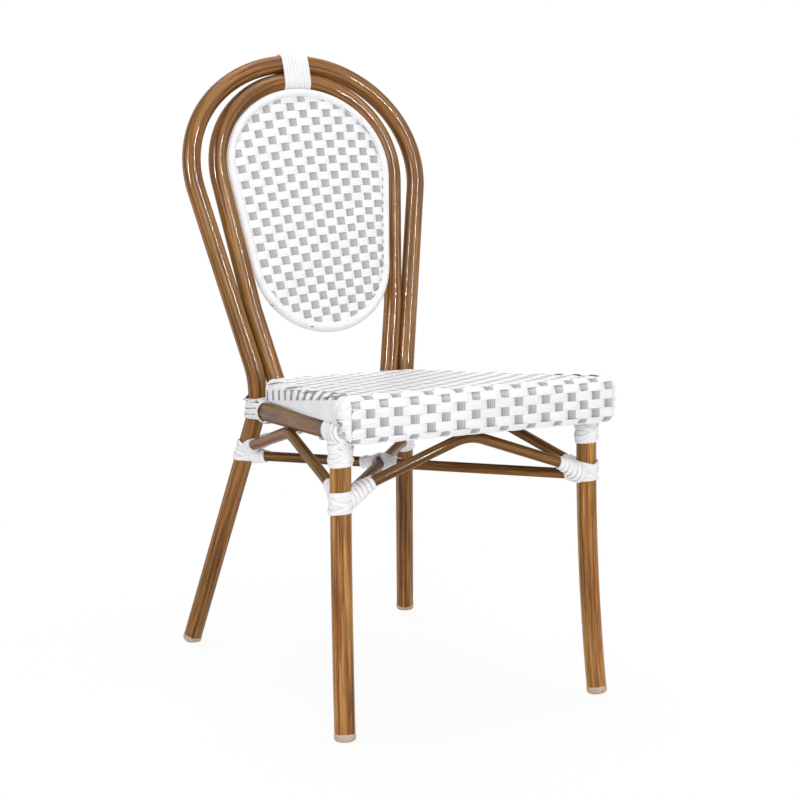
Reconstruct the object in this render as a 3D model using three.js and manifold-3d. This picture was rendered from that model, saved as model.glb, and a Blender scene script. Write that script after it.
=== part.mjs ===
import * as THREE from "three";
import { mergeVertices } from "three/addons/utils/BufferGeometryUtils.js";
import Module from "manifold-3d";

// A stacking cafe chair: bent metal tubes painted as cane, a woven seat and a woven back panel.
// Millimetres. X runs across the chair, -Y is its front, Z is up and the floor is at zero.

const wasm = await Module();
wasm.setup();

// Tubes
const TUBE_DIAMETER = 28;
const TUBE_WALL = 1.5;
const BRACE_DIAMETER = 15;
const BRACE_WALL = 1.2;
const RAIL_BAR_DIAMETER = 22;
const RAIL_END_IN_LEG = 7;
const TOUCH = 0.3;

// Front legs, by the axis of their straight upper part
const FRONT_LEG_X = 194.5;
const FRONT_LEG_Y = -182.8;
const FRONT_BEND_BELOW_TOP = 25;
const FRONT_FOOT_OUT = 8;
const FRONT_FOOT_FORWARD = 24.3;

// Rear legs and the back, which leans from the corner where leg and back lines meet
const REAR_FOOT_X = 194.6;
const REAR_FOOT_Y = 325.4;
const CORNER_X = 123.1;
const CORNER_Y = 205.1;
const CORNER_BELOW_SEAT = 25.6;
const CORNER_BEND_RADIUS = 140;
const BACK_LEAN_DEGREES = 14.87;
const SPLAY_RUN = 327.81;
const LOOP_HALF_WIDTH = 193.2;
const LOOP_TOP = 514.3;
const LOOPS_APART = 42.7;
const INNER_SPLAY_RUN = 208.58;
const INNER_BEND_UP = 126.9;
const INNER_BEND_RADIUS = 160;
const INNER_END_BELOW = 22;

// Feet
const FOOT_HEIGHT = 10;
const FOOT_OVER_TUBE = 0.5;
const FOOT_STEM_PLAY = 0.25;
const FOOT_STEM_LENGTH = 14;
const FOOT_EDGE = 1.5;

// Seat, by its top plane and by how far it stands out from the legs
const SEAT_FRONT_HEIGHT = 455.4;
const SEAT_FALL = 27.4;
const SEAT_BEYOND_LEGS = 11;
const SEAT_BEYOND_CORNER = 9.9;
const SEAT_TO_BACK = 7.1;
const SEAT_DEPTH = 34;
const SEAT_FRONT_CORNER = 18;
const SEAT_REAR_CORNER = 42;
const SEAT_ROLL = 16;
const WEAVE_THICKNESS = 3;
const HEM_RADIUS = 5;
const HEM_TURN_DEGREES = 90;
const HEM_LIP = 9;

// Apron, the front wall of the seat, with a bar in its hem
const APRON_DEPTH = 62;
const APRON_TO_LEG = 15.2;
const APRON_HEM_TURN_DEGREES = 112;
const APRON_HEM_LIP = 1;
const APRON_BAR_DIAMETER = 16;
const APRON_BAR_WALL = 2;
const APRON_BAR_GAP = 1;
const APRON_POST_INSET = 32;
const APRON_POST_BEND = 18;
const APRON_STARTS_SHARE = 0.3;
const APRON_FULL_SHARE = 0.96;

// Side bands, below a slanting seam in the seat's side wall
const BAND_FROM_FRONT = 28;
const BAND_FROM_REAR = 34;
const SEAM_FRONT_DROP = 5.7;
const SEAM_REAR_DROP = 31.5;

// Seat frame, a channel that opens inward, and its screws
const FRAME_WIDTH = 15;
const FRAME_WALL = 2;
const FRAME_ROLL_GAP = 0.4;
const SCREW_DIAMETER = 5;
const SCREW_HEAD_DIAMETER = 11;
const SCREW_HEAD_HEIGHT = 3;
const SCREW_INTO_FRAME = 9;
const SCREW_BEFORE_ARCH = 20;
const SCREW_SPACING = 100;

// Back panel
const PANEL_FORWARD = 10;
const PANEL_BOTTOM = 95.2;
const PANEL_TURN_UP = 191.42;
const PANEL_THICKNESS = 3;
const BINDING_DIAMETER = 12.6;
const BINDING_WALL = 2;
const HOOP_PLAY = 0.8;

// Braces and cross rails
const CROSS_RAIL_DROP = 4.2;
const ARCH_BELOW_RAIL = 85.9;
const ARCH_BEND_RADIUS = 70;
const CROSS_FRONT_DROP = 6;
const CROSS_REAR_DROP = 12;

// Lashings of flat cane
const STRIP_THICKNESS = 2;
const STRIP_GAP = 0.9;
const TUBE_TO_STRIP = 0.9;
const DRAWN_FULL_DEGREES = 76;
const DRAWN_END_DEGREES = 134;
const DRAWN_TO_BRACE = 1.5;
const LOWER_FRONT = { turns: 3, aboveArch: 13, belowCross: 18, drawnLength: 23 };
const LOWER_REAR = { turns: 3, aboveArch: 17, belowCross: 8, drawnLength: 21 };
const UPPER = { turns: 3, belowRail: 1.7, length: 31 };
const PAIR = { turns: 2, belowRailTop: 10.8, length: 27, drawnAboveRailTop: 4.7, drawnLength: 21 };
const PAIR_GAP = 2.1;
const PAIR_ROOM = 1.8;
const PAIR_DRAWN_AT_DEGREES = 22;
const TOP = { turns: 7, halfLength: 21 };
const RAIL_SLEEVE = { turns: 2, fromTube: 4, length: 24 };
const ARCH_SLEEVE = { turns: 2, fromTube: 8.5, length: 23.5 };
const CROSS_SLEEVE = { turns: 1, fromTube: 13, length: 19 };
const CROSSING_SLEEVE = { turns: 2, fromTube: 2.5, length: 22 };
const RELIEF_PAST_SLEEVE = 1;

// Facets
const MAIN_SIDES = 12;
const BRACE_SIDES = 10;
const SCREW_SIDES = 8;
const HOOP_SIDES = 6;
const BORE_FEWER_SIDES = 4;
const LOOP_STEPS = 18;
const PANEL_LOWER_STEPS = 14;
const CORNER_STEPS = 6;
const INNER_BEND_STEPS = 2;
const ARCH_STEPS = 4;
const POST_STEPS = 3;
const WALL_STEPS = 3;
const LEG_STEPS = 5;
const BINDING_POINTS = 9;
const MERGE_DISTANCE = 1e-4;
const TURN_AWAY_SHARE = 0.6;

const degrees = THREE.MathUtils.degToRad;
const vector = (x, y, z) => new THREE.Vector3(x, y, z);

const finish = {
  cane: { color: 0x8a5a33, roughness: 0.38, metalness: 0.25 },
  white: { color: 0xf1f0ee, roughness: 0.5, metalness: 0 },
  foot: { color: 0xa8978a, roughness: 0.6, metalness: 0 },
  metal: { color: 0xb9bbbd, roughness: 0.35, metalness: 0.9 },
};
const chair = new THREE.Group();

function add(name, geometry, look) {
  const mesh = new THREE.Mesh(geometry, new THREE.MeshStandardMaterial(finish[look]));
  mesh.name = name;
  chair.add(mesh);
  return mesh;
}

// A curve through given stations, with a mitred section at each
class Route extends THREE.Curve {
  constructor(points) {
    super();
    this.points = points;
    this.tangents = points.map((point, i) => {
      const back = points[Math.max(i - 1, 0)];
      const next = points[Math.min(i + 1, points.length - 1)];
      const arrive = point.clone().sub(back).normalize();
      return arrive.add(next.clone().sub(point).normalize()).normalize();
    });
  }
  getUtoTmapping(share) {
    return share;
  }
  pick(list, share) {
    const place = share * (this.points.length - 1);
    const i = Math.min(Math.floor(place + 1e-9), this.points.length - 2);
    return list[i].clone().lerp(list[i + 1], place - i);
  }
  getPoint(share) {
    return this.pick(this.points, share);
  }
  getTangent(share) {
    return this.pick(this.tangents, share).normalize();
  }
  atHeight(height) {
    const i = this.points.findIndex((p, n) => n > 0 && (p.z - height) * (this.points[n - 1].z - height) <= 0);
    const [low, high] = [this.points[i - 1], this.points[i]];
    const share = (height - low.z) / (high.z - low.z);
    const along = this.tangents[i - 1].clone().lerp(this.tangents[i], share).normalize();
    return { centre: low.clone().lerp(high, share), along: along.multiplyScalar(Math.sign(along.z)) };
  }
}

// Stations of a bend of one radius in the corner between two straight runs
function bend(before, corner, after, radius, steps) {
  const back = before.clone().sub(corner).normalize();
  const on = after.clone().sub(corner).normalize();
  const half = back.angleTo(on) / 2;
  const centre = corner.clone().addScaledVector(back.clone().add(on).normalize(), radius / Math.sin(half));
  const arm = corner.clone().addScaledVector(back, radius / Math.tan(half)).sub(centre);
  const axis = on.clone().cross(back).normalize();
  const turn = (Math.PI - 2 * half) / steps;
  return Array.from({ length: steps + 1 }, (_, i) => arm.clone().applyAxisAngle(axis, turn * i).add(centre));
}

function circlePoints(radius, sides) {
  return Array.from({ length: sides }, (_, i) => {
    const angle = (2 * Math.PI * (i + 0.5)) / sides;
    return new THREE.Vector2(radius * Math.cos(angle), radius * Math.sin(angle));
  });
}

function tube(points, diameter, wall, sides) {
  const shape = new THREE.Shape(circlePoints(diameter / 2, sides));
  if (wall) {
    const bore = circlePoints(diameter / 2 - wall, sides - BORE_FEWER_SIDES);
    shape.holes.push(new THREE.Path(bore.reverse()));
  }
  const route = new Route(points);
  return new THREE.ExtrudeGeometry(shape, { steps: points.length - 1, extrudePath: route });
}

// Skin over rings of equally many points, closed along or ended by fans
function loft(rings, closed = false) {
  const count = rings[0].length;
  const points = rings.flat();
  const faces = [];
  const spans = closed ? rings.length : rings.length - 1;
  for (let i = 0; i < spans; i += 1) {
    for (let j = 0; j < count; j += 1) {
      const a = i * count + j;
      const b = i * count + ((j + 1) % count);
      const c = ((i + 1) % rings.length) * count + j;
      const d = ((i + 1) % rings.length) * count + ((j + 1) % count);
      faces.push(a, b, d, a, d, c);
    }
  }
  if (!closed) {
    for (const [ring, flip] of [[0, true], [rings.length - 1, false]]) {
      const middle = rings[ring].reduce((sum, p) => sum.add(p), vector(0, 0, 0)).divideScalar(count);
      const hub = points.push(middle) - 1;
      for (let j = 0; j < count; j += 1) {
        const a = ring * count + j;
        const b = ring * count + ((j + 1) % count);
        faces.push(...(flip ? [hub, b, a] : [hub, a, b]));
      }
    }
  }
  const geometry = new THREE.BufferGeometry().setFromPoints(points);
  geometry.setIndex(volumeOf(points, faces) > 0 ? faces : faces.reverse());
  geometry.computeVertexNormals();
  return geometry;
}

function volumeOf(points, faces) {
  let total = 0;
  for (let i = 0; i < faces.length; i += 3) {
    const [a, b, c] = [points[faces[i]], points[faces[i + 1]], points[faces[i + 2]]];
    total += a.dot(b.clone().cross(c));
  }
  return total;
}

function solid(geometry) {
  const bare = geometry.clone();
  bare.deleteAttribute("normal");
  bare.deleteAttribute("uv");
  const merged = mergeVertices(bare, MERGE_DISTANCE);
  const vertProperties = new Float32Array(merged.attributes.position.array);
  const triVerts = new Uint32Array(merged.index.array);
  return new wasm.Manifold(new wasm.Mesh({ numProp: 3, vertProperties, triVerts }));
}

function geometryOf(body) {
  const mesh = body.getMesh();
  const geometry = new THREE.BufferGeometry();
  const places = new Float32Array(mesh.numVert * 3);
  for (let i = 0; i < mesh.numVert; i += 1) {
    places.set(mesh.vertProperties.subarray(i * mesh.numProp, i * mesh.numProp + 3), i * 3);
  }
  geometry.setAttribute("position", new THREE.BufferAttribute(places, 3));
  geometry.setIndex(new THREE.BufferAttribute(new Uint32Array(mesh.triVerts), 1));
  geometry.computeVertexNormals();
  return geometry;
}

// A piece cut back from its neighbours, which are given already grown by the touching gap
function cope(geometry, cutters) {
  return geometryOf(cutters.reduce((body, cutter) => body.subtract(solid(cutter)), solid(geometry)));
}

// Seat plan and plane
const apronHemRadius = APRON_BAR_DIAMETER / 2 + APRON_BAR_GAP + WEAVE_THICKNESS;
const apronBarY = FRONT_LEG_Y - TUBE_DIAMETER / 2 - APRON_TO_LEG - APRON_BAR_DIAMETER / 2;
const seatFrontY = apronBarY - apronHemRadius;
const seatRearY = CORNER_Y - TUBE_DIAMETER / 2 - SEAT_TO_BACK;
const seatFrontHalf = FRONT_LEG_X + TUBE_DIAMETER / 2 + SEAT_BEYOND_LEGS;
const seatRearHalf = CORNER_X + SEAT_BEYOND_CORNER;
const seatSlope = SEAT_FALL / (seatRearY - seatFrontY);
const seatTop = (y) => SEAT_FRONT_HEIGHT - seatSlope * (y - seatFrontY);

// Front legs
const legTop = seatTop(FRONT_LEG_Y + TUBE_DIAMETER / 2) - SEAT_DEPTH - TOUCH;
const bendHeight = legTop - FRONT_BEND_BELOW_TOP;

function frontLegPoint(side, height) {
  const share = Math.max(0, (bendHeight - height) / bendHeight) ** 2;
  const x = FRONT_LEG_X + FRONT_FOOT_OUT * share;
  return vector(side * x, FRONT_LEG_Y - FRONT_FOOT_FORWARD * share, height);
}

function frontLegPoints(side) {
  const heights = Array.from({ length: LEG_STEPS + 1 }, (_, i) => (bendHeight * i) / LEG_STEPS);
  return [...heights, legTop].map((height) => frontLegPoint(side, height));
}

// Back plane: across, and up along the lean
const lean = degrees(BACK_LEAN_DEGREES);
const upBack = vector(0, Math.sin(lean), Math.cos(lean));
const outOfBack = vector(0, -Math.cos(lean), Math.sin(lean));
const cornerHeight = SEAT_FRONT_HEIGHT - SEAT_FALL - CORNER_BELOW_SEAT;
function onBack(across, up, forward = 0) {
  const corner = vector(across, CORNER_Y, cornerHeight);
  return corner.addScaledVector(upBack, up).addScaledVector(outOfBack, forward);
}

// Height of the centre of an ellipse whose end is given and that a slanting line touches
function touchingCentre(halfWidth, end, lineStart, slope) {
  const reach = halfWidth ** 2 - lineStart ** 2 + (slope * end) ** 2;
  return reach / (2 * slope * (lineStart + slope * end));
}

// Half width and centre of an ellipse whose end is given and that the line touches at a given height
function touchingEllipse(end, touch, lineStart, slope) {
  const across = lineStart + slope * touch;
  const rise = touch - end;
  const past = (slope * rise ** 2) / (across - 2 * slope * rise);
  const share = past / (past + rise);
  return { halfWidth: across / Math.sqrt(1 - share ** 2), centre: touch + past };
}

function ellipseArc(halfWidth, centre, end, slope, steps) {
  const rise = end - centre;
  const start = -Math.atan((slope * rise) / halfWidth);
  return Array.from({ length: steps + 1 }, (_, i) => {
    const angle = start + ((Math.PI - 2 * start) * i) / steps;
    return new THREE.Vector2(halfWidth * Math.cos(angle), centre + rise * Math.sin(angle));
  });
}

// The sides' lines start at the corner and would reach the loop's half width after a given run
const outerSlope = (LOOP_HALF_WIDTH - CORNER_X) / SPLAY_RUN;
const pairSpacing = TUBE_DIAMETER + TOUCH;

const outerCentre = touchingCentre(LOOP_HALF_WIDTH, LOOP_TOP, CORNER_X, outerSlope);
const outerArc = ellipseArc(LOOP_HALF_WIDTH, outerCentre, LOOP_TOP, outerSlope, LOOP_STEPS);

function backLoopPoints() {
  const foot = (side) => vector(side * REAR_FOOT_X, REAR_FOOT_Y, 0);
  const corner = (side) => onBack(side * CORNER_X, 0);
  const arc = outerArc.map((p) => onBack(p.x, p.y));
  const up = bend(foot(1), corner(1), arc[0], CORNER_BEND_RADIUS, CORNER_STEPS);
  const down = bend(arc[arc.length - 1], corner(-1), foot(-1), CORNER_BEND_RADIUS, CORNER_STEPS);
  return [foot(1), ...up, ...arc, ...down, foot(-1)];
}

// Inner loop: beside the outer one below its bend, inside it above
const innerTop = LOOP_TOP - pairSpacing;
const innerHalfWidth = LOOP_HALF_WIDTH - LOOPS_APART;
const besideOuter = pairSpacing * Math.sqrt(1 + outerSlope ** 2);
const innerBendX = CORNER_X + outerSlope * INNER_BEND_UP - besideOuter;
const innerSlope = (innerHalfWidth - innerBendX) / INNER_SPLAY_RUN;
const innerLineStart = innerBendX - innerSlope * INNER_BEND_UP;
const innerCentre = touchingCentre(innerHalfWidth, innerTop, innerLineStart, innerSlope);
const innerArc = ellipseArc(innerHalfWidth, innerCentre, innerTop, innerSlope, LOOP_STEPS);

function innerLoopPoints() {
  const endX = innerBendX - outerSlope * (INNER_BEND_UP + INNER_END_BELOW);
  const end = (side) => onBack(side * endX, -INNER_END_BELOW);
  const corner = (side) => onBack(side * innerBendX, INNER_BEND_UP);
  const arc = innerArc.map((p) => onBack(p.x, p.y));
  const up = bend(end(1), corner(1), arc[0], INNER_BEND_RADIUS, INNER_BEND_STEPS);
  const down = bend(arc[arc.length - 1], corner(-1), end(-1), INNER_BEND_RADIUS, INNER_BEND_STEPS);
  return [end(1), ...up, ...arc, ...down, end(-1)];
}

// Routes of the four legs, and the cutters that other tubes are coped by
const legStations = CORNER_STEPS + 3;
const grown = (diameter) => diameter + 2 * TOUCH;
const legs = {
  front_left: new Route(frontLegPoints(-1)),
  front_right: new Route(frontLegPoints(1)),
  rear_left: new Route(backLoopPoints().slice(-legStations).reverse()),
  rear_right: new Route(backLoopPoints().slice(0, legStations)),
};
const legCutters = [
  ...[-1, 1].map((side) => tube(frontLegPoints(side), grown(TUBE_DIAMETER), 0, MAIN_SIDES)),
  tube(backLoopPoints(), grown(TUBE_DIAMETER), 0, MAIN_SIDES),
];

// Cuts a leg's foot end off square to the tube, where the foot's collar starts
function footEnd(route) {
  const floor = route.points[0];
  const along = route.points[1].clone().sub(floor).normalize();
  return { floor, along, collar: floor.clone().addScaledVector(along, FOOT_HEIGHT) };
}

function startAt(points, start) {
  return [start, ...points.slice(1)];
}

function addLegsAndLoops() {
  for (const [name, side] of [["left", -1], ["right", 1]]) {
    const points = frontLegPoints(side);
    const trimmed = startAt(points, footEnd(new Route(points)).collar);
    add(`front_leg_${name}`, tube(trimmed, TUBE_DIAMETER, TUBE_WALL, MAIN_SIDES), "cane");
  }
  const loop = backLoopPoints();
  const first = footEnd(new Route(loop)).collar;
  const last = footEnd(new Route([...loop].reverse())).collar;
  const trimmed = [first, ...loop.slice(1, -1), last];
  add("back_loop_and_rear_legs", tube(trimmed, TUBE_DIAMETER, TUBE_WALL, MAIN_SIDES), "cane");
  const inner = tube(innerLoopPoints(), TUBE_DIAMETER, TUBE_WALL, MAIN_SIDES);
  const rail = tube(rearRailPoints(), grown(RAIL_BAR_DIAMETER), 0, BRACE_SIDES);
  add("inner_back_loop", cope(inner, [rail]), "cane");
}

// A foot: a collar under the tube's end and a stem in its bore, cut level with the floor
function addFeet() {
  const edge = TUBE_DIAMETER / 2 + FOOT_OVER_TUBE;
  const boreSides = MAIN_SIDES - BORE_FEWER_SIDES;
  const stem = (TUBE_DIAMETER / 2 - TUBE_WALL) * Math.cos(Math.PI / boreSides) - FOOT_STEM_PLAY;
  const underFloor = new THREE.BoxGeometry(edge * 4, edge * 4, edge * 2);
  underFloor.translate(0, 0, -edge);
  for (const [name, route] of Object.entries(legs)) {
    const { floor, along } = footEnd(route);
    const top = FOOT_HEIGHT - TOUCH;
    const profile = [
      [0, -edge], [edge, -edge], [edge, top - FOOT_EDGE], [edge - FOOT_EDGE, top],
      [stem, top], [stem, top + FOOT_STEM_LENGTH], [0, top + FOOT_STEM_LENGTH],
    ].map(([x, y]) => new THREE.Vector2(x, y));
    const plug = new THREE.LatheGeometry(profile, MAIN_SIDES);
    plug.applyQuaternion(new THREE.Quaternion().setFromUnitVectors(vector(0, 1, 0), along));
    plug.translate(floor.x, floor.y, floor.z);
    const below = underFloor.clone().translate(floor.x, floor.y, 0);
    add(`foot_${name}`, cope(plug, [below]), "foot");
  }
}

// Rails between the legs, just under the seat
const railDrop = SEAT_DEPTH + TOUCH + TUBE_DIAMETER / 2;
const railHeight = (y) => seatTop(y) - railDrop;

function towards(from, to, past) {
  return from.clone().addScaledVector(to.clone().sub(from).normalize(), past);
}

function sideRailEnds(side) {
  const front = vector(side * FRONT_LEG_X, FRONT_LEG_Y, railHeight(FRONT_LEG_Y));
  const name = side < 0 ? "rear_left" : "rear_right";
  const guess = legs[name].atHeight(railHeight(CORNER_Y)).centre;
  return [front, vector(guess.x, guess.y, railHeight(guess.y))];
}

const frontRailHeight = railHeight(FRONT_LEG_Y) - CROSS_RAIL_DROP;
const rearRailHeight = railHeight(CORNER_Y) - CROSS_RAIL_DROP;

function rearRailPoints() {
  return ["rear_left", "rear_right"].map((name) => legs[name].atHeight(rearRailHeight).centre);
}

function frontRailPoints() {
  return [-1, 1].map((side) => vector(side * FRONT_LEG_X, FRONT_LEG_Y, frontRailHeight));
}

const sideMidY = (FRONT_LEG_Y + CORNER_Y) / 2;
const screwRearY = sideMidY - SCREW_BEFORE_ARCH;
const screwFrontY = screwRearY - SCREW_SPACING;
const seatScrewYs = [screwFrontY, screwRearY];
function screwPlace(side, y) {
  const [front, rear] = sideRailEnds(side);
  const share = (y - front.y) / (rear.y - front.y);
  return front.clone().lerp(rear, share);
}

function rod(diameter, length, sides) {
  return new THREE.CylinderGeometry(diameter / 2, diameter / 2, length, sides).rotateX(Math.PI / 2);
}

function screwHole(side, y) {
  const place = screwPlace(side, y);
  return rod(grown(SCREW_DIAMETER), 2 * SEAT_DEPTH, SCREW_SIDES).translate(place.x, place.y, place.z);
}

function addRails() {
  for (const [name, side] of [["left", -1], ["right", 1]]) {
    const [front, rear] = sideRailEnds(side);
    const ends = [towards(front, rear, RAIL_END_IN_LEG), towards(rear, front, RAIL_END_IN_LEG)];
    const body = tube(ends, TUBE_DIAMETER, TUBE_WALL, MAIN_SIDES);
    const holes = seatScrewYs.map((y) => screwHole(side, y));
    add(`side_rail_${name}`, cope(body, [...legCutters, ...holes]), "cane");
  }
  for (const [name, points] of [["front", frontRailPoints()], ["rear", rearRailPoints()]]) {
    const body = tube(points, RAIL_BAR_DIAMETER, TUBE_WALL, BRACE_SIDES);
    add(`${name}_cross_rail`, cope(body, [...legCutters, ...sideRailCutters]), "cane");
  }
}

// Braces: an arch on each of the four sides and a cross of one through bar and two halves
const archDrop = BRACE_DIAMETER / 2 + TOUCH;
const sideApex = railHeight(sideMidY) - TUBE_DIAMETER / 2 - archDrop;
const frontApex = frontRailHeight - RAIL_BAR_DIAMETER / 2 - archDrop;
const rearApex = rearRailHeight - RAIL_BAR_DIAMETER / 2 - archDrop;
const archLanding = railHeight(FRONT_LEG_Y) - ARCH_BELOW_RAIL;
const crossFrontLanding = archLanding - CROSS_FRONT_DROP;
const crossRearLanding = archLanding - CROSS_REAR_DROP;

function archPoints(from, to, apexHeight) {
  const [start, end] = [from, to].map((name) => legs[name].atHeight(archLanding).centre);
  const half = Math.atan2(end.distanceTo(start) / 2, apexHeight - archLanding);
  const lift = ARCH_BEND_RADIUS / Math.sin(half) - ARCH_BEND_RADIUS;
  const corner = start.clone().lerp(end, 1 / 2);
  corner.z = apexHeight + lift;
  return [start, ...bend(start, corner, end, ARCH_BEND_RADIUS, ARCH_STEPS), end];
}

const arches = {
  front: archPoints("front_left", "front_right", frontApex),
  rear: archPoints("rear_left", "rear_right", rearApex),
  left: archPoints("front_left", "rear_left", sideApex),
  right: archPoints("front_right", "rear_right", sideApex),
};
const crossEnds = {
  front_left: legs.front_left.atHeight(crossFrontLanding).centre,
  front_right: legs.front_right.atHeight(crossFrontLanding).centre,
  rear_left: legs.rear_left.atHeight(crossRearLanding).centre,
  rear_right: legs.rear_right.atHeight(crossRearLanding).centre,
};
const crossing = (() => {
  const [a, b] = [crossEnds.rear_left, crossEnds.front_right];
  return a.clone().lerp(b, a.x / (a.x - b.x));
})();

function addBraces() {
  const cutter = (points) => tube(points, grown(BRACE_DIAMETER), 0, BRACE_SIDES);
  const archCutters = Object.values(arches).map(cutter);
  for (const [name, points] of Object.entries(arches)) {
    const arch = tube(points, BRACE_DIAMETER, BRACE_WALL, BRACE_SIDES);
    add(`arch_brace_${name}`, cope(arch, legCutters), "cane");
  }
  const through = [crossEnds.rear_left, crossEnds.front_right];
  const bar = tube(through, BRACE_DIAMETER, BRACE_WALL, BRACE_SIDES);
  add("cross_brace_through", cope(bar, [...legCutters, ...archCutters]), "cane");
  for (const [name, from] of [["front_half", "front_left"], ["rear_half", "rear_right"]]) {
    const half = tube([crossEnds[from], crossing], BRACE_DIAMETER, BRACE_WALL, BRACE_SIDES);
    add(`cross_brace_${name}`, cope(half, [...legCutters, ...archCutters, cutter(through)]), "cane");
  }
}

// Plan outline of the seat: stations with their outward normals, corners rounded
function seatStations() {
  const corners = [
    { x: seatFrontHalf, y: seatFrontY, radius: SEAT_FRONT_CORNER },
    { x: seatRearHalf, y: seatRearY, radius: SEAT_REAR_CORNER },
    { x: -seatRearHalf, y: seatRearY, radius: SEAT_REAR_CORNER },
    { x: -seatFrontHalf, y: seatFrontY, radius: SEAT_FRONT_CORNER },
  ];
  return corners.flatMap((corner, i) => {
    const at = (c) => vector(c.x, c.y, 0);
    const before = corners[(i + corners.length - 1) % corners.length];
    const after = corners[(i + 1) % corners.length];
    const arc = bend(at(before), at(corner), at(after), corner.radius, CORNER_STEPS);
    const [toBefore, toAfter] = [before, after].map((c) => at(c).sub(at(corner)).normalize());
    const half = toBefore.angleTo(toAfter) / 2;
    const inward = toBefore.add(toAfter).normalize();
    const centre = at(corner).addScaledVector(inward, corner.radius / Math.sin(half));
    return arc.map((point) => ({ point, normal: point.clone().sub(centre).normalize() }));
  });
}

const stations = seatStations();
const inset = (station, amount) => station.point.clone().addScaledVector(station.normal, -amount);

// How far a station is part of the front apron, from none on the sides to one at the front
const { lerp: mix, smoothstep } = THREE.MathUtils;
const apronShare = (station) => smoothstep(-station.normal.y, APRON_STARTS_SHARE, APRON_FULL_SHARE);

// Section of the weave's wall at a station, outside down to the lip, as inset and drop
function wallSection(station, skin) {
  const share = apronShare(station);
  const depth = mix(SEAT_DEPTH, APRON_DEPTH, share);
  const hem = mix(HEM_RADIUS, apronHemRadius, share);
  const turn = degrees(mix(HEM_TURN_DEGREES, APRON_HEM_TURN_DEGREES, share));
  const lip = mix(HEM_LIP, APRON_HEM_LIP, share);
  const roll = SEAT_ROLL - skin;
  const points = [];
  for (let i = 0; i <= WALL_STEPS; i += 1) {
    const angle = (Math.PI / 2) * (1 - i / WALL_STEPS);
    points.push([SEAT_ROLL - roll * Math.cos(angle), SEAT_ROLL - roll * Math.sin(angle)]);
  }
  for (let i = 0; i <= WALL_STEPS; i += 1) {
    const angle = (turn * i) / WALL_STEPS;
    points.push([hem - (hem - skin) * Math.cos(angle), depth - hem + (hem - skin) * Math.sin(angle)]);
  }
  const [x, y] = points[points.length - 1];
  points.push([x + lip * Math.sin(turn), y + lip * Math.cos(turn)]);
  return points;
}

function weaveShell() {
  const levels = wallSection(stations[0], 0).length;
  const ring = (level, skin) => stations.map((station) => {
    const [amount, drop] = wallSection(station, skin)[level];
    const point = inset(station, amount);
    point.z = seatTop(point.y) - drop;
    return point;
  });
  const outside = Array.from({ length: levels }, (_, i) => ring(i, 0));
  const inside = Array.from({ length: levels }, (_, i) => ring(levels - 1 - i, WEAVE_THICKNESS));
  return loft([...outside, ...inside]);
}

// Block below the slanting seam on one side; what lies in it belongs to the band
function seamBlock(side, shrink) {
  const [front, rear] = [seatFrontY + BAND_FROM_FRONT + shrink, seatRearY - BAND_FROM_REAR - shrink];
  const low = seatTop(seatRearY) - 2 * SEAT_DEPTH;
  const outline = new THREE.Shape([
    new THREE.Vector2(front, low),
    new THREE.Vector2(rear, low),
    new THREE.Vector2(rear, seatTop(rear) - SEAM_REAR_DROP - shrink),
    new THREE.Vector2(front, seatTop(front) - SEAM_FRONT_DROP - shrink),
  ]);
  const wide = seatFrontHalf;
  const block = new THREE.ExtrudeGeometry(outline, { depth: wide, bevelEnabled: false });
  block.rotateZ(Math.PI / 2);
  block.rotateY(Math.PI / 2);
  return block.translate(side > 0 ? seatRearHalf / 2 : -seatRearHalf / 2 - wide, 0, 0);
}

function addSeatCover() {
  const shell = solid(weaveShell());
  const blocks = [-1, 1].map((side) => solid(seamBlock(side, 0)));
  add("seat_weave", geometryOf(blocks.reduce((body, block) => body.subtract(block), shell)), "white");
  for (const [name, side] of [["left", -1], ["right", 1]]) {
    const relief = railLashingRelief(side);
    const cutters = [relief, ...seatScrewYs.map((y) => screwHole(side, y))];
    const band = shell.intersect(solid(seamBlock(side, TOUCH)));
    const cut = cutters.reduce((body, cutter) => body.subtract(solid(cutter)), band);
    add(`seat_side_band_${name}`, geometryOf(cut), "white");
  }
}

// Seat frame and the bar that stiffens the apron
function addSeatFrame() {
  const top = WEAVE_THICKNESS + TOUCH;
  const bottom = SEAT_DEPTH - top;
  const roll = SEAT_ROLL - top - TOUCH - FRAME_ROLL_GAP;
  const near = SEAT_ROLL - roll;
  const far = near + FRAME_WIDTH;
  const corner = HEM_RADIUS - WEAVE_THICKNESS;
  const section = [
    [far, top], [SEAT_ROLL, top], [SEAT_ROLL - roll / 2, SEAT_ROLL - (roll * Math.sqrt(3)) / 2],
    [near, SEAT_ROLL], [near, bottom - corner], [near + corner, bottom], [far, bottom],
    [far, bottom - FRAME_WALL], [near + corner, bottom - FRAME_WALL],
    [near + FRAME_WALL, bottom - corner - FRAME_WALL],
    [near + FRAME_WALL, SEAT_ROLL + FRAME_WALL], [SEAT_ROLL, top + FRAME_WALL], [far, top + FRAME_WALL],
  ];
  const rings = stations.map((station) => section.map(([amount, drop]) => {
    const point = inset(station, amount);
    point.z = seatTop(point.y) - drop;
    return point;
  }));
  const holes = [-1, 1].flatMap((side) => seatScrewYs.map((y) => frameHole(side, y)));
  add("seat_frame", cope(loft(rings, true), holes), "metal");
}

function frameHole(side, y) {
  const place = screwPlace(side, y);
  const length = SCREW_INTO_FRAME;
  const hole = rod(grown(SCREW_DIAMETER), 2 * length, SCREW_SIDES);
  return hole.translate(place.x, place.y, seatTop(y) - SEAT_DEPTH);
}

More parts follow.
